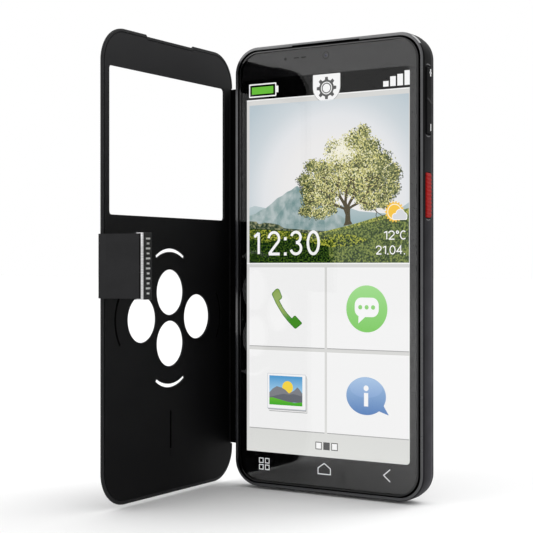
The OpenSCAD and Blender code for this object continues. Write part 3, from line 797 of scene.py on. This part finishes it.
def handset():
    """Outline of a telephone receiver that lies on a slant with its hollow side up."""
    return [(-18.5, 66.6), (-17.9, 66.2), (-16.8, 63.9), (-17.0, 63.3), (-17.9, 62.6),
            (-16.4, 60.2), (-14.8, 58.4), (-13.1, 56.8), (-12.3, 57.6), (-11.7, 57.7),
            (-9.2, 55.4), (-9.3, 55.0), (-11.5, 53.4), (-12.1, 53.5), (-14.6, 55.7),
            (-16.4, 57.6), (-17.9, 59.6), (-19.4, 61.8), (-20.8, 64.5), (-20.7, 65.1),
            (-19.3, 66.4)]


# ---- picture on the screen: a tree on a hill in front of mountains ----

def speckled(name, size, detail, stretch, *stops):
    """A patch of the screen with blotches; stops are (position, display colour)."""
    colours = [(position, srgb(*colour)) for position, colour in stops]
    return glowing(name, lambda made: made.ramp(made.noise(size, detail, stretch), colours))


def grass(name, dark, middle, bright, size):
    return speckled(name, size, 8, (1, 1, 1), (0.38, dark), (0.5, middle), (0.6, bright))


def streaks(name, dark, bright):
    """Streaks that run down a mountain side."""
    return speckled(name, 2.4, 9, (1, 1, 0.8), (0.35, dark), (0.65, bright))


def make_landscape():
    x0, x1, z0, z1 = PICTURE
    sky = lit_around("ui_sky", (2.6, 97), [(0.0, srgb(240, 239, 237)), (0.45, srgb(234, 233, 233)),
                                         (0.62, srgb(226, 228, 231)), (0.77, srgb(204, 212, 217)),
                                         (1, srgb(182, 196, 204))], 42)
    far = lit_fade("ui_far_mountain", (140, 168, 172), (196, 207, 210), 86, 97)
    near = streaks("ui_near_mountain", (134, 158, 157), (180, 192, 192))
    facet = streaks("ui_facet", (112, 142, 142), (166, 182, 182))
    bush = grass("ui_bush", (40, 56, 44), (84, 96, 72), (150, 150, 116), 0.8)
    shadow = grass("ui_shaded_grass", (2, 12, 8), (20, 44, 16), (72, 100, 30), 0.6)
    sunny = grass("ui_sunny_grass", (34, 52, 24), (78, 98, 46), (132, 144, 74), 0.55)
    bright = grass("ui_bright_grass", (76, 94, 40), (124, 138, 60), (190, 188, 92), 0.5)
    tips = grass("ui_grass_tips", (10, 30, 10), (66, 92, 30), (176, 178, 66), 0.5)
    parts = [
        (4, sky, [box2(x0, x1, z0, z1)]),
        (5, far, [[(x0, z0), (x0, 93.7), (-27.6, 94.3), (-24.6, 93.7), (-21.6, 93.2), (-18, 92.6),
                   (-8, 94.2), (-2, 94.8), (6, 93.6), (12, 91.6), (22, 90.6), (25.4, 91.6),
                   (27.7, 92.9), (x1, 94), (x1, z0)]]),
        (6, near, [[(x0, z0), (x0, 91.0), (-27.2, 91.7), (-25, 92.9), (-23.2, 93.4), (-20.8, 95.0),
                    (-18.8, 96.6), (-16.8, 97.4), (-15, 98.6), (-13.2, 99.2), (-11.6, 100.3),
                    (-10.8, 100.5), (-9.6, 99.2), (-7.4, 97.6), (-5.8, 95.9), (-2, 93.6), (1.8, 91.3),
                    (5.4, 90.2), (8, 89), (9, z0)]]),
        (7, facet, [[(-11.2, 100.2), (-12.6, 98.2), (-14.4, 95.8), (-16.2, 93.4), (-18.6, 90.9),
                     (-20.8, 88.2), (-22, z0), (0, z0), (-1, 92.8), (-5.8, 95.7), (-7.4, 97.4),
                     (-9.6, 99)]]),
        (8, bush, [[(x0, z0), (x0, 89.2), (-27, 89), (-25.9, 88.1), (-23.6, 88.6), (-20.8, 88.3),
                    (-18.2, 87.8), (-16, 86.6), (-12.5, 86.3), (-6, 85.8), (0, 85.4), (3, z0)]]),
        (9, bright, [[(-2.7, 84.9), (2, 85.9), (7, 86.9), (12, 88), (18.6, 89.7), (24, 91), (x1, 92.2),
                      (x1, 87), (12, 84), (0, 82)]]),
        (10, sunny, [[(-12, z0), (-4.5, 84.6), (2, 85.2), (8, 86.1), (14, 87.5), (20, 88.7),
                      (x1, 90.4), (x1, z0)]]),
        (10.5, tips, [[(-29.7, 86.2), (-24, 86.2), (-16, 85.6), (-8, 84.8), (-1.6, 83.8), (4, 84.6),
                       (10, 84), (16, 82.4), (10, 80.6), (2, 80.2), (-4, 81.2), (-8, 82.6),
                       (-16, 83.2), (-24, 81.8), (-29.7, 83.0)]]),
        (10.3, shadow, [[(x0, z0), (x0, 86.6), (-24, 86.4), (-16, 85.9), (-8, 85), (-1.6, 84),
                       (0.4, 81.6), (1.5, z0)]]),
    ]
    screen_piece("screen_picture", parts)
    make_tree()
    make_weather()


CROWN = [
    # clumps of leaves: x, z, half width, half height
    (13.4, 116.6, 2.7, 2.9), (9.6, 113.4, 4.4, 4), (3.4, 111.6, 4, 3.6), (15.4, 111.4, 4.4, 4),
    (6, 108, 6, 4), (-5, 106.6, 3.4, 2.4), (-1, 104.6, 5, 4), (12.5, 106.4, 6, 4.6),
    (19.4, 107, 4.6, 4), (23.8, 103.4, 3.4, 3.4), (-8, 102.2, 3, 2.6), (-5.5, 99.5, 4.5, 3.6),
    (1.5, 100.6, 5.6, 4.2), (9, 101, 6.2, 4.6), (16.6, 101.2, 6, 4.8), (23, 98.4, 3.7, 3),
    (-5.6, 95.5, 4, 2.6), (0, 96.6, 4.6, 3), (20, 96, 4.5, 2.4), (-7.6, 92, 3.2, 1.9),
    (-2.6, 91.2, 4.2, 1.9), (1.6, 93, 3.2, 2.2), (13.4, 96, 4, 2.5), (15.5, 93.4, 3.5, 1.7),
    (20.6, 93.6, 2.8, 1.5),
]


def make_tree():
    dice = random.Random(7)
    bark = lit("ui_bark", 74, 66, 42)
    branches = [[(6.3, 87.0), (6.9, 88.4), (7.0, 90.6), (6.2, 92.6), (7.4, 93.6), (8.8, 93.2),
                 (8.7, 91), (8.9, 88.6), (9.6, 87.5)]]

    def branch(x, z, angle, length, width, depth):
        end = (x + length * math.cos(angle), z + length * math.sin(angle))
        bend = ((x + end[0]) / 2 + dice.uniform(-0.5, 0.5), (z + end[1]) / 2)
        branches.extend(stroke([(x, z), bend, end], width))
        if depth:
            for turn in (-0.5, 0.45):
                branch(*end, angle + turn + dice.uniform(-0.2, 0.2), length * 0.78, width * 0.66,
                       depth - 1)

    for angle, width in ((0.45, 0.8), (1.05, 1.0), (1.6, 1.0), (2.1, 1.0), (2.75, 0.8)):
        branch(7.5, 92.2, angle, 5.2, width, 4)
    screen_piece("screen_tree_bark", [(12.5, bark, [loop]) for loop in branches])

    mass = grass("ui_leaf_mass", (46, 60, 34), (108, 116, 68), (208, 203, 130), 0.7)
    lumps = []
    for cx, cz, half_w, half_h in CROWN:
        outline = []
        for i in range(36):
            a = 2 * math.pi * i / 36
            reach = dice.uniform(0.66, 0.94)
            outline.append((cx + half_w * reach * math.cos(a), cz + half_h * reach * math.sin(a)))
        lumps.append((11.5, mass, [outline]))
    screen_piece("screen_tree_mass", lumps)
    glow = lit_around("ui_tree_glow", (5.2, 111.4), [(0, srgb(244, 241, 230)), (1, srgb(214, 211, 164))], 6)
    screen_piece("screen_tree_glow", [(12.2, glow, [gear(5.6, 110.8, 2.5, 4.1, 13)])])

    make_leaves(dice)


LEAF_TONES = [("shade", 34, 50, 30), ("dark", 62, 76, 44), ("olive", 110, 118, 72),
              ("green", 152, 155, 98), ("gold", 214, 208, 132), ("pale", 232, 229, 188),
              ("glare", 243, 240, 224)]


def make_leaves(dice):
    """Small four-pointed leaves, lighter towards the top and in the sun's glare."""
    tones = [lit("ui_leaf_" + name, *rgb) for name, *rgb in LEAF_TONES]
    points, faces, tone_of = [], [], []
    for cx, cz, half_w, half_h in CROWN:
        for _ in range(int(half_w * half_h * 26)):
            a, r = dice.uniform(0, 2 * math.pi), dice.random() ** 0.42
            reach = 1.06 + (0.16 if dice.random() < 0.12 else 0)
            across, up = r * math.cos(a), r * math.sin(a)
            x, z = cx + half_w * across * reach, cz + half_h * up * reach
            tone = 2.05 + 1.1 * up - 0.5 * across + dice.gauss(0, 2.0)
            tone -= 1.0 * max(0, (x - 15) / 9) + 1.7 * max(0, (-4 - x) / 5)
            tone += 1.1 * max(0, (98 - z) / 8)
            middle = math.hypot((x - 7) / 9, (z - 100) / 7)
            tone += 0.9 * max(0, 1 - middle)
            glare = math.hypot((x - 5) / 7, (z - 111.5) / 6)
            if glare < 1:
                tone += 3.8 * (1 - glare) + 0.6
            tone = min(6, max(0, round(tone)))
            if tone == 6 and glare > 0.8:
                tone = 4
            if dice.random() < 0.4 * max(0, 1 - math.hypot((x - 7.5) / 9, (z - 95) / 8)):
                continue
            size = dice.uniform(0.2, 0.4)
            lean = dice.uniform(0, math.pi)
            depth = SCREEN_Y - LAYER * (12.15 + 0.12 * tone)
            start = len(points)
            for k, reach in enumerate((1, 0.55, 1, 0.55)):
                b = lean + k * math.pi / 2
                points.append((x + PICTURE_X + size * reach * math.cos(b), depth,
                               z + PICTURE_Z + size * reach * math.sin(b)))
            faces.append((start, start + 1, start + 2, start + 3))
            tone_of.append(tone)
    mesh = bpy.data.meshes.new("leaves")
    mesh.from_pydata([[c * MM for c in p] for p in points], [], faces)
    mesh.polygons.foreach_set("material_index", tone_of)
    place_on_screen("screen_tree_leaves", mesh, tones)


def make_weather():
    sun = lit("ui_sun", 246, 196, 62)
    cloud = lit("ui_cloud", 214, 216, 220)
    halo = lit("ui_sun_halo", 252, 242, 214)
    parts = [(13, sun, [gear(24.5, 91.15, 2.9, 3.35, 18)]),
             (13.1, halo, [disc(24.5, 91.15, 2.5)]), (13.2, sun, [disc(24.5, 91.15, 2.2)])]
    for grow, layer, tint in ((0.22, 13.3, UI_WHITE), (0, 13.6, cloud)):
        for x, z, r in ((26.5, 90.4, 1.4), (24.7, 89.6, 0.85), (27.8, 89.75, 0.95)):
            parts.append((layer, tint, [disc(x, z, r + grow)]))
        parts.append((layer + 0.1, tint, [box2(24 - grow, 28.7 + grow, 88.75 - grow, 89.9, 0.5)]))
    clock = []
    for sign, x0, x1 in (("1", -28.2, -25.5), ("2", -22.5, -17.4), (":", -16.1, -15.0),
                         ("3", -13.8, -9.05), ("0", -7.4, -2.4)):
        clock += signs(sign, x0, x1, 77.6, 85.75, 0.95)
    for loops in (clock,
                  signs("12oC", 20.7, 28.6, 82.35, 85.25, 0.36, 0.22),
                  signs("21.04.", 17.9, 28.3, 77.7, 80.6, 0.36, 0.22)):
        parts += [(13 + i * 0.05, UI_WHITE, loop) for i, loop in enumerate(loops)]
    screen_piece("screen_weather", parts)


def make_touch_keys():
    """The three lit signs below the screen."""
    sign = lit("ui_sign", 216, 218, 220)
    loops = []
    for x in (-24.75, -22.4):
        for z in (6.6, 8.8):
            loops += stroke(box2(x - 0.75, x + 0.75, z - 0.75, z + 0.75), 0.28, True)
    loops += stroke([(-2.9, 6.2), (1.7, 6.2), (1.7, 8.1), (-0.6, 9.7), (-2.9, 8.1)][::-1], 0.32, True)
    loops += stroke([(23.2, 9.7), (20.9, 7.75), (23.2, 5.8)], 0.32)
    mesh = slab(loops, "y", 0, 0)
    mesh.transform(Matrix.Translation((0, (MASK_Y - 0.006) * MM, 0)))
    place_on_screen("touch_key_signs", mesh, sign, ["touch_key_film"])


def make_front_camera():
    lens = Surface("lens_glass", srgb(5, 5, 7), 0.04, IOR=1.58).material
    coating = Surface("lens_coating", srgb(44, 48, 96), 0.2, Coat_Weight=0.5).material
    rim = turned_part("y", (0, LENS_Z), [(1.2, -4.1), (1.2, -4.22), (1.0, -4.22), (1.0, -4.1)])
    place("front_camera_ring", rim, BLACK, "phone")
    place("front_camera_lens", rod("y", (0, LENS_Z), 1.0, -4.2, -4.1), lens, "phone")
    place("front_camera_pupil", rod("y", (0, LENS_Z), 0.3, -4.215, -4.19, 24), coating, "phone")


# ---- side keys ----

def key_rings(z0, z1, top_x, rib=lambda z: 0, steps=6):
    """Cross sections of a side key, rounded towards its ends."""
    stations, count, foot, edge, end_l = [], 120, 33.0, 0.4, 0.45
    for i in range(count + 1):
        z = z0 + (z1 - z0) * i / count
        from_end = min(z - z0, z1 - z)
        end = end_l * (1 - math.sqrt(max(0, 1 - (1 - min(1, from_end / end_l)) ** 2)))
        top = top_x - end - rib(z) - edge
        half = KEY_W / 2 - 0.35 * (1 - min(1, from_end / 0.35)) ** 2
        turns = [math.pi / 2 * k / steps for k in range(steps + 1)]
        upper = [(top + edge * math.sin(a), KEY_Y + half - edge + edge * math.cos(a), z)
                 for a in turns]
        lower = [(top + edge * math.cos(a), KEY_Y - half + edge - edge * math.sin(a), z)
                 for a in turns]
        stations.append([(foot, KEY_Y + half, z), *upper, *lower, (foot, KEY_Y - half, z)])
    return stations


def make_side_keys():
    make_rocker()
    make_slot_edges()
    make_red_key()


def make_rocker():
    hatch = Surface("rocker_plastic", srgb(10, 10, 11), 0.5, Specular_IOR_Level=0.03).vary(4)
    hatch = hatch.bump(hatch.noise(0.3, 1, (1, 2.5, 2.5)), 0.03).material
    half = ROCKER_L / 2
    rocker = lofted(key_rings(ROCKER_Z - half, ROCKER_Z + half, KEY_TOP_X - 0.12))
    place("volume_rocker_cap", rocker, hatch, "volume_rocker", ["volume_rocker"])
    top, plus_z = KEY_TOP_X - 0.13, 134.3
    marks = [box2(KEY_Y + 0.25, KEY_Y + 1.6, plus_z - 0.27, plus_z + 0.27),
             box2(KEY_Y + 0.65, KEY_Y + 1.2, plus_z - 1.15, plus_z + 1.15),
             box2(KEY_Y + 0.8, KEY_Y + 1.25, 116.1, 118.3, 0.1)]
    marks = [slab([mark], "x", top - 0.05, top + 0.06) for mark in marks]
    place("volume_rocker_marks", joined(*marks), WHITE_PAINT, "volume_rocker")
    chevron = stroke([(KEY_Y - 1.5, 126.2), (KEY_Y + 0.2, 125.5), (KEY_Y + 1.5, 124.7)], 0.5)
    # the ridge wears a lighter plastic, a painted highlight
    ridge = slab(chevron, "x", top - 0.05, top + 0.12, 0.05)
    place("volume_rocker_ridge", ridge, CHEVRON_PAINTED_HIGHLIGHT, "volume_rocker")


def make_slot_edges():
    """Thin lighter lines that stand for the lit edges at the ends of the key slots."""
    lines = []
    for end, side in ((ROCKER_Z - ROCKER_L / 2 - 0.5, -1), (ROCKER_Z + ROCKER_L / 2 + 0.5, 1),
                      (RED_Z - RED_L / 2 - 0.5, -1)):
        path = [(KEY_Y - 1.3, end), (KEY_Y - 0.5, end + 0.28 * side),
                (KEY_Y + 0.5, end + 0.28 * side), (KEY_Y + 1.5, end)]
        lines.append(slab(stroke(path, 0.3), "x", 34.9, 35.015))
    place("key_slot_painted_highlights", joined(*lines), SLOT_EDGE_HIGHLIGHT, "phone")


def make_red_key():
    def rib(z):
        return 0.22 * (0.5 - 0.5 * math.cos(2 * math.pi * (z - RED_Z) / 1.2)) ** 0.7

    half = RED_L / 2
    key = lofted(key_rings(RED_Z - half, RED_Z + half, KEY_TOP_X, rib))
    place("red_key_cap", key, RED, "red_key", ["red_key"], 50)


# ---- bottom sockets ----

def make_sockets():
    profile = [(2.3, 0.12), (1.85, 0.02), (1.75, 0.15), (1.75, 12)]
    jack = turned_part("z", (JACK_X, JACK_Y), profile)
    place("headphone_ring", jack, BLACK_GLOSS, "phone")
    dress("headphone_jack", BLACK)
    dress("usb_socket", DULL)


# ---- back cover, spine and flap ----

def make_back_shell():
    profile = [(2.6, 3.4), (1.1, PART_Y + 0.4), (1.0, PART_Y + 0.16), (0.42, PART_Y + 0.16),
               (0.33, PART_Y + 0.28)]
    for i in range(13):
        a = math.pi / 2 * i / 12
        profile.append((5.2 - 4.9 * math.cos(a) ** 0.8,
                        PART_Y + 0.3 + (BACK_Y - PART_Y - 0.3) * math.sin(a)))
    profile.append((9, BACK_Y))
    rings = [outline_ring(inset, y, 18) for inset, y in profile]
    inner = [outline_ring(2.6 + d, y, 18) for d, y in ((3, 4.05), (1.4, 4.0))]
    mesh = lofted(inner + rings)
    holes = [rod("y", (CAM_X, CAM_Z), 5.4, 3, 6, 64), rod("y", (FLASH_X, CAM_Z), 1.6, 3, 6, 32)]
    holes += [rod("y", (SPEAKER_X + 1.7 * i, SPEAKER_Z), 0.5, 3, 6, 20) for i in range(-3, 4)]
    place("back_shell_skin", carved(mesh, *holes), SHELL, "back_cover",
          ["back_shell"], 30)
    ring = turned_part("y", (CAM_X, CAM_Z), [
        (5.38, 4.4), (5.38, 5.05), (5.25, 5.14), (4.9, 5.14), (4.75, 5.0), (4.75, 4.4)], 64)
    place("camera_bezel", ring, RIM, "back_cover")
    pane = turned_part("y", (CAM_X, CAM_Z), [(4.75, 4.5), (4.75, 4.95), (4.6, 5.0), (0.1, 5.0)], 64)
    place("camera_pane", pane, BLACK_GLOSS, "back_cover", ["camera_window"])
    lens = turned_part("y", (CAM_X, CAM_Z), [(2.6, 5.0), (2.6, 5.03), (2.2, 5.05), (1.9, 5.02)], 48)
    place("camera_lens_ring", lens, DULL, "back_cover")


def bent_sheet(path, z0, z1):
    """Sheet along a path of (x, y, half thickness) between two heights."""
    front, back = [], []
    for i, (x, y, half) in enumerate(path):
        a, b = path[max(0, i - 1)], path[min(len(path) - 1, i + 1)]
        way = Vector((b[0] - a[0], b[1] - a[1])).normalized()
        front.append((x - way.y * half, y + way.x * half))
        back.append((x + way.y * half, y - way.x * half))
    outline = front + back[::-1]
    middle = [((f[0] + b[0]) / 2, (f[1] + b[1]) / 2) for f, b in zip(front, back)]
    middle += middle[::-1]
    rings = []
    for z in (z0, z0 + 0.12, z1 - 0.12, z1):
        inset = 0.24 if z in (z0, z1) else 0
        rings.append([(x + (m[0] - x) * inset, y + (m[1] - y) * inset, z)
                      for (x, y), m in zip(outline, middle)])
    return lofted(rings)


def make_spine():
    """One soft strip from the back shell over the hinge bead to the fold of the flap."""
    half = SHEET_T / 2
    over = []
    for i in range(25):
        x = -30.5 - i * (36.6 - 30.5) / 24
        lift = min(1, max(0, (-31.0 - x) / 3))
        over.append((x, 5.42 + (SPINE_Y - 5.42) * lift * lift * (3 - 2 * lift),
                     0.22 + (half - 0.22) * lift))
    mesh = bent_sheet(over, SPINE_Z0, SPINE_Z1)
    strip = place("spine_hinge_strip", mesh, SPINE, None, ["spine_panel"])
    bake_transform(strip)
    panel = bent_sheet([(x, SPINE_Y, half) for x in (-36.5, -38, -40, -42, -43.4)]
                       + [(-43.9, SPINE_Y, half * 0.95), (FOLD_X - 0.25, SPINE_Y, half * 0.6)],
                       SPINE_Z0, SPINE_Z1)
    place("spine_strip", panel, SPINE, "spine", ["spine_panel"])


def flap_outline(inset=0.0, hinge_inset=0.0):
    """Edge of the flap as (y, z) points, with the shallow notch in its top."""
    y0, y1 = SPINE_Y - FLAP_L + inset, SPINE_Y - hinge_inset
    z0, z1 = inset, BODY_H - inset
    r, ear = FLAP_R - inset, y1 + 0.9

    def corner(y, z, quarter):
        return disc(y, z, r, steps=20, start=quarter * math.pi / 2,
                    end=(quarter + 1) * math.pi / 2)

    half, deep, side = 12.4, 0.56, 0.5
    notch = [(HOLES_Y + half + side, z1), (HOLES_Y + half, z1 - deep),
             (HOLES_Y - half, z1 - deep), (HOLES_Y - half - side, z1)]
    hinge_edge = [(ear, SPINE_Z0 - 0.4), (y1, SPINE_Z0 - 0.1), (y1, SPINE_Z1 + 0.1),
                  (ear, SPINE_Z1 + 0.4)]
    return [*corner(ear - r, z1 - r, 0), *notch, *corner(y0 + r, z1 - r, 1),
            *corner(y0 + r, z0 + r, 2), *corner(ear - r, z0 + r, 3), *hinge_edge]


def arc_band(y, z, middle, grow=0.0):
    """Arc-shaped slot round a finger hole, with round ends."""
    half = ARC_W / 2 + grow
    outer = disc(y, z, ARC_R + half, steps=24, start=middle - ARC_HALF, end=middle + ARC_HALF)
    inner = disc(y, z, ARC_R - half, steps=24, start=middle - ARC_HALF, end=middle + ARC_HALF)
    return outer + inner[::-1]


def make_flap():
    fingers = [(0, FINGER_UP), (0, -FINGER_UP), (FINGER_SIDE, 0), (-FINGER_SIDE, 0)]

    def openings(grow):
        loops = [rounded(WINDOW_W + 2 * grow, WINDOW_Z1 - WINDOW_Z0 + 2 * grow, 1.2, 6,
                         HOLES_Y, (WINDOW_Z0 + WINDOW_Z1) / 2)]
        for dy, dz in fingers:
            loops.append(disc(HOLES_Y + dy, FINGER_Z + dz, FINGER_R + grow, steps=72))
        for s in (-1, 1):
            loops.append(arc_band(HOLES_Y, FINGER_Z + s * FINGER_UP, s * math.pi / 2, grow))
        return loops

    outside, inside = FOLD_X - SHEET_T / 2, FOLD_X + SHEET_T / 2
    step = inside - 0.2
    outer = slab([flap_outline(0.3, 0.35)] + openings(0), "x", outside, step, 0.1)
    place("flap_outer", outer, OUTER, "flap", ["flap_panel"])
    hem = slab([flap_outline(0, 0.1), flap_outline(1.05, 1.1)], "x", outside, inside, 0.26, 4)
    place("flap_hem", hem, HEM, "flap", ["flap_panel"])
    grooves = []
    for s in (-1, 1):
        grooves.append(arc_band(HOLES_Y + s * FINGER_SIDE, FINGER_Z, math.pi / 2 - s * math.pi / 2,
                                -0.15))
    grooves.append(box2(HOLES_Y - 0.45, HOLES_Y + 0.45, 14.4, 26.9, 0.3))
    for z in (12.1, 12.8, 13.6):
        grooves.append(disc(HOLES_Y, z, 0.26, steps=12))
    lining = slab([flap_outline(1.25, 1.3)] + openings(0.12) + grooves, "x", step - 0.02, inside,
                  0.03)
    place("flap_lining", lining, LINING_PAINTED_LIGHT, "flap", ["flap_panel"], 1)
    # painted shade: black floors put in the grooves of the lining
    floors = slab(grooves, "x", step - 0.01, step + 0.06)
    place("flap_groove_painted_shade", floors, GROOVE_PAINTED_SHADE, "flap")
    fold = rod("z", (FOLD_X, SPINE_Y), SHEET_T / 2, SPINE_Z0, SPINE_Z1, 24, 0.1)
    place("flap_fold_edge", fold, OUTER, "flap")


# ---- strap and clip ----

def strap_point(u, w):
    """Row-frame (x, y) of a point u along the folded strap and w towards its inner side."""
    c, s = math.cos(STRAP_TURN), math.sin(STRAP_TURN)
    return STRAP_AXIS[0] + u * c - w * s, STRAP_AXIS[1] + u * s + w * c


def strap_section(path):
    return [(*strap_point(u, w), half) for u, w, half in path]


def make_strap():
    half = SHEET_T / 2
    edge = SPINE_Y - FLAP_L
    tab = bent_sheet([(FOLD_X, edge + 0.4, half * 0.9), (FOLD_X, edge - 0.2, half),
                      (FOLD_X, edge - 0.5, half * 0.7), (*STRAP_AXIS, 0.2)], STRAP_Z0, STRAP_Z1)
    place("strap_tab", tab, STRAP, "flap")
    roll = rod("z", STRAP_AXIS, 0.2, STRAP_Z0, STRAP_Z1, 24, 0.05)
    band = bent_sheet(strap_section([(0, 0, 0.2), (0.5, 0, 0.22), (1.3, 0, 0.24)]
                                    + [(u * 0.5, 0, half) for u in range(4, 21)]),
                      STRAP_Z0, STRAP_Z1)
    place("strap_leather_band", joined(roll, band), STRAP, "strap_root",
          ["strap_band"])
    tip = bent_sheet(strap_section([(CREASE_L + 0.3 * k, 0, half) for k in range(0, 11)]),
                     STRAP_Z0, STRAP_Z1)
    crease = rod("z", strap_point(CREASE_L, 0), half, STRAP_Z0, STRAP_Z1, 24, 0.08)
    place("strap_leather_tip", joined(tip, crease), STRAP, "strap", ["strap_tip"])


def clip_outline(points):
    return [strap_point(u, w) for u, w in points]


def make_clip():
    lean = math.radians(66)
    nose, half = STRAP_L + 0.8, SHEET_T / 2

    def face(along, inward):
        return (nose + along * math.cos(lean) - inward * math.sin(lean),
                -half + along * math.sin(lean) + inward * math.cos(lean))

    z0, z1 = STRAP_Z0 - 0.3, STRAP_Z1 + 0.3
    body = [(STRAP_L - 2.4, half + 0.02), (STRAP_L, half), (STRAP_L + 0.1, -half + 0.1),
            face(0.15, 0), face(1, 0), face(2.5, 0), face(3.8, 0.02), face(4, 0.2), face(4, 0.6),
            face(3.8, 0.8), face(1.8, 0.8), (nose - 0.7, half + 0.6), (STRAP_L - 2.2, half + 0.6),
            (STRAP_L - 2.4, half + 0.45)]
    mesh = slab([clip_outline(body)], "z", z0, z1, 0.12, 3)
    place("clip_body", mesh, CLIP, "strap", ["strap_clip"], 40)
    edge = [(STRAP_L + 0.05, -half - 0.02), (STRAP_L + 0.2, -half - 0.1), (nose - 0.15, -half - 0.1),
            face(0.12, 0.02), face(0.1, 0.3), (STRAP_L + 0.1, -half + 0.25)]
    line = slab([clip_outline(edge)], "z", z0 + 0.02, z1 - 0.02, 0.02)
    lips = []
    for low, high in ((z0, z0 + 0.28), (z1 - 0.28, z1)):
        lip = [(STRAP_L - 1.3, -half - 0.06), (STRAP_L + 0.3, -half - 0.1), (STRAP_L + 0.3, half),
               (STRAP_L - 1.1, half)]
        lips.append(slab([clip_outline(lip)], "z", low, high, 0.04))
    place("clip_edge", joined(line, *lips), CLIP_EDGE, "strap", angle=40)
    studs = []
    for i in range(12):
        low, high = (1.15, 3.0) if i % 2 else (1.5, 2.65)
        z = STRAP_Z0 + 1.3 + 1.5 * i
        stud = [face(low, 0.02), face(high, 0.02), face(high, -0.07), face(low, -0.07)]
        studs.append(slab([clip_outline(stud)], "z", z, z + 0.55))
    place("clip_studs", joined(*studs), CLIP_EDGE, "strap")
    # painted shadow: a dark strip beside the polished edge stands for the shadow of the gap between strap
    # and clip
    gap = [(STRAP_L - 0.28, -half - 0.03), (STRAP_L + 0.04, -half - 0.03),
           (STRAP_L + 0.04, -half + 0.2), (STRAP_L - 0.28, -half + 0.2)]
    groove = slab([clip_outline(gap)], "z", z0 + 0.3, z1 - 0.3)
    place("clip_painted_shadow", groove, GROOVE_PAINTED_SHADE, "strap")


# ---- pieces inside ----

def board_material():
    made = Surface("board_green", srgb(24, 92, 58), 0.35, Coat_Weight=0.4)
    traces = made.noise(2.2, 1, (1, 1, 4))
    stops = [(0.45, srgb(20, 80, 50)), (0.5, srgb(46, 124, 82)), (0.55, srgb(20, 80, 50))]
    return made.drive("Base Color", made.ramp(traces, stops)).bump(traces, 0.02).material


def make_inside():
    board = board_material()
    wrap = Surface("battery_wrap", srgb(206, 206, 200), 0.5).vary(12, 0.05)
    wrap = wrap.bump(wrap.noise(3, 2), 0.03).material
    led = Surface("clear_led", srgb(238, 226, 160), 0.2, Coat_Weight=0.6).material
    looks = {
        "main_board": board, "lower_board": board, "shield_can": DULL, "sim_holder": DULL,
        "battery_contacts": GOLD, "battery": wrap, "microphone": DULL, "loudspeaker": BLACK,
        "vibration_motor": DULL, "rear_camera": BLACK_GLOSS, "flash_led": led,
        "side_switches": DULL, "frame_screws": STEEL, "earpiece": DULL, "front_camera": BLACK,
        "latch_magnet": DULL,
    }
    for name, material in looks.items():
        dress(name, material)


# ---- scene ----

def make_stage():
    paper = Surface("floor_paper", srgb(236, 236, 236), 0.9, Specular_IOR_Level=0.1)
    paper = paper.vary(400, 0.004, 0.02).material
    size = 6000
    corners = [(-size, -size), (size, -size), (size, size), (-size, size)]
    mesh = mesh_from([(x, y, FLOOR_Z) for x, y in corners], [(0, 1, 2, 3)])
    place("floor", mesh, paper, None)
    world = bpy.data.worlds.new("studio")
    bpy.context.scene.world = world
    world.use_nodes = True
    fill(world.node_tree.nodes["Background"], Color=grey(1), Strength=1.0)


def add_aimed(name, data, direction, place_at=(0, 0, 0)):
    """A light or the camera, looking along a direction."""
    made = bpy.data.objects.new(name, data)
    bpy.context.scene.collection.objects.link(made)
    made.location = place_at
    made.rotation_mode = "QUATERNION"
    made.rotation_quaternion = Vector(direction).to_track_quat("-Z", "Y")
    return made


def make_lights():
    box = bpy.data.lights.new("front_softbox", "AREA")
    box.shape, box.size, box.size_y, box.energy = "RECTANGLE", 0.9, 0.7, 4
    place_at = Vector((-0.75, -1.05, 0.75))
    add_aimed("front_softbox", box, Vector((0, 0, MID_Z * MM)) - place_at, place_at)
    sun = bpy.data.lights.new("back_sun", "SUN")
    sun.energy, sun.angle = 1.3, math.radians(38)
    add_aimed("back_sun", sun, (-0.3, -0.6, -0.75))


def make_camera():
    data = bpy.data.cameras.new("camera")
    data.lens, data.sensor_width = 85, 36
    data.shift_x, data.shift_y = 0.0009, -0.0009
    data.clip_start, data.clip_end = 0.01, 50
    yaw = math.radians(31.92)
    forward = (-math.sin(yaw), math.cos(yaw), 0)
    bpy.context.scene.camera = add_aimed("camera", data, forward, (0.1997, -0.3618, 0.0739))


bpy.context.scene.view_settings.view_transform = "Standard"
for make in (make_camera, make_stage, make_lights, make_frame, make_glass, make_mask, make_screen,
             make_status_bar, make_icons, make_landscape, make_touch_keys, make_front_camera,
             make_side_keys, make_sockets, make_back_shell, make_spine, make_flap, make_strap,
             make_clip, make_inside):
    make()
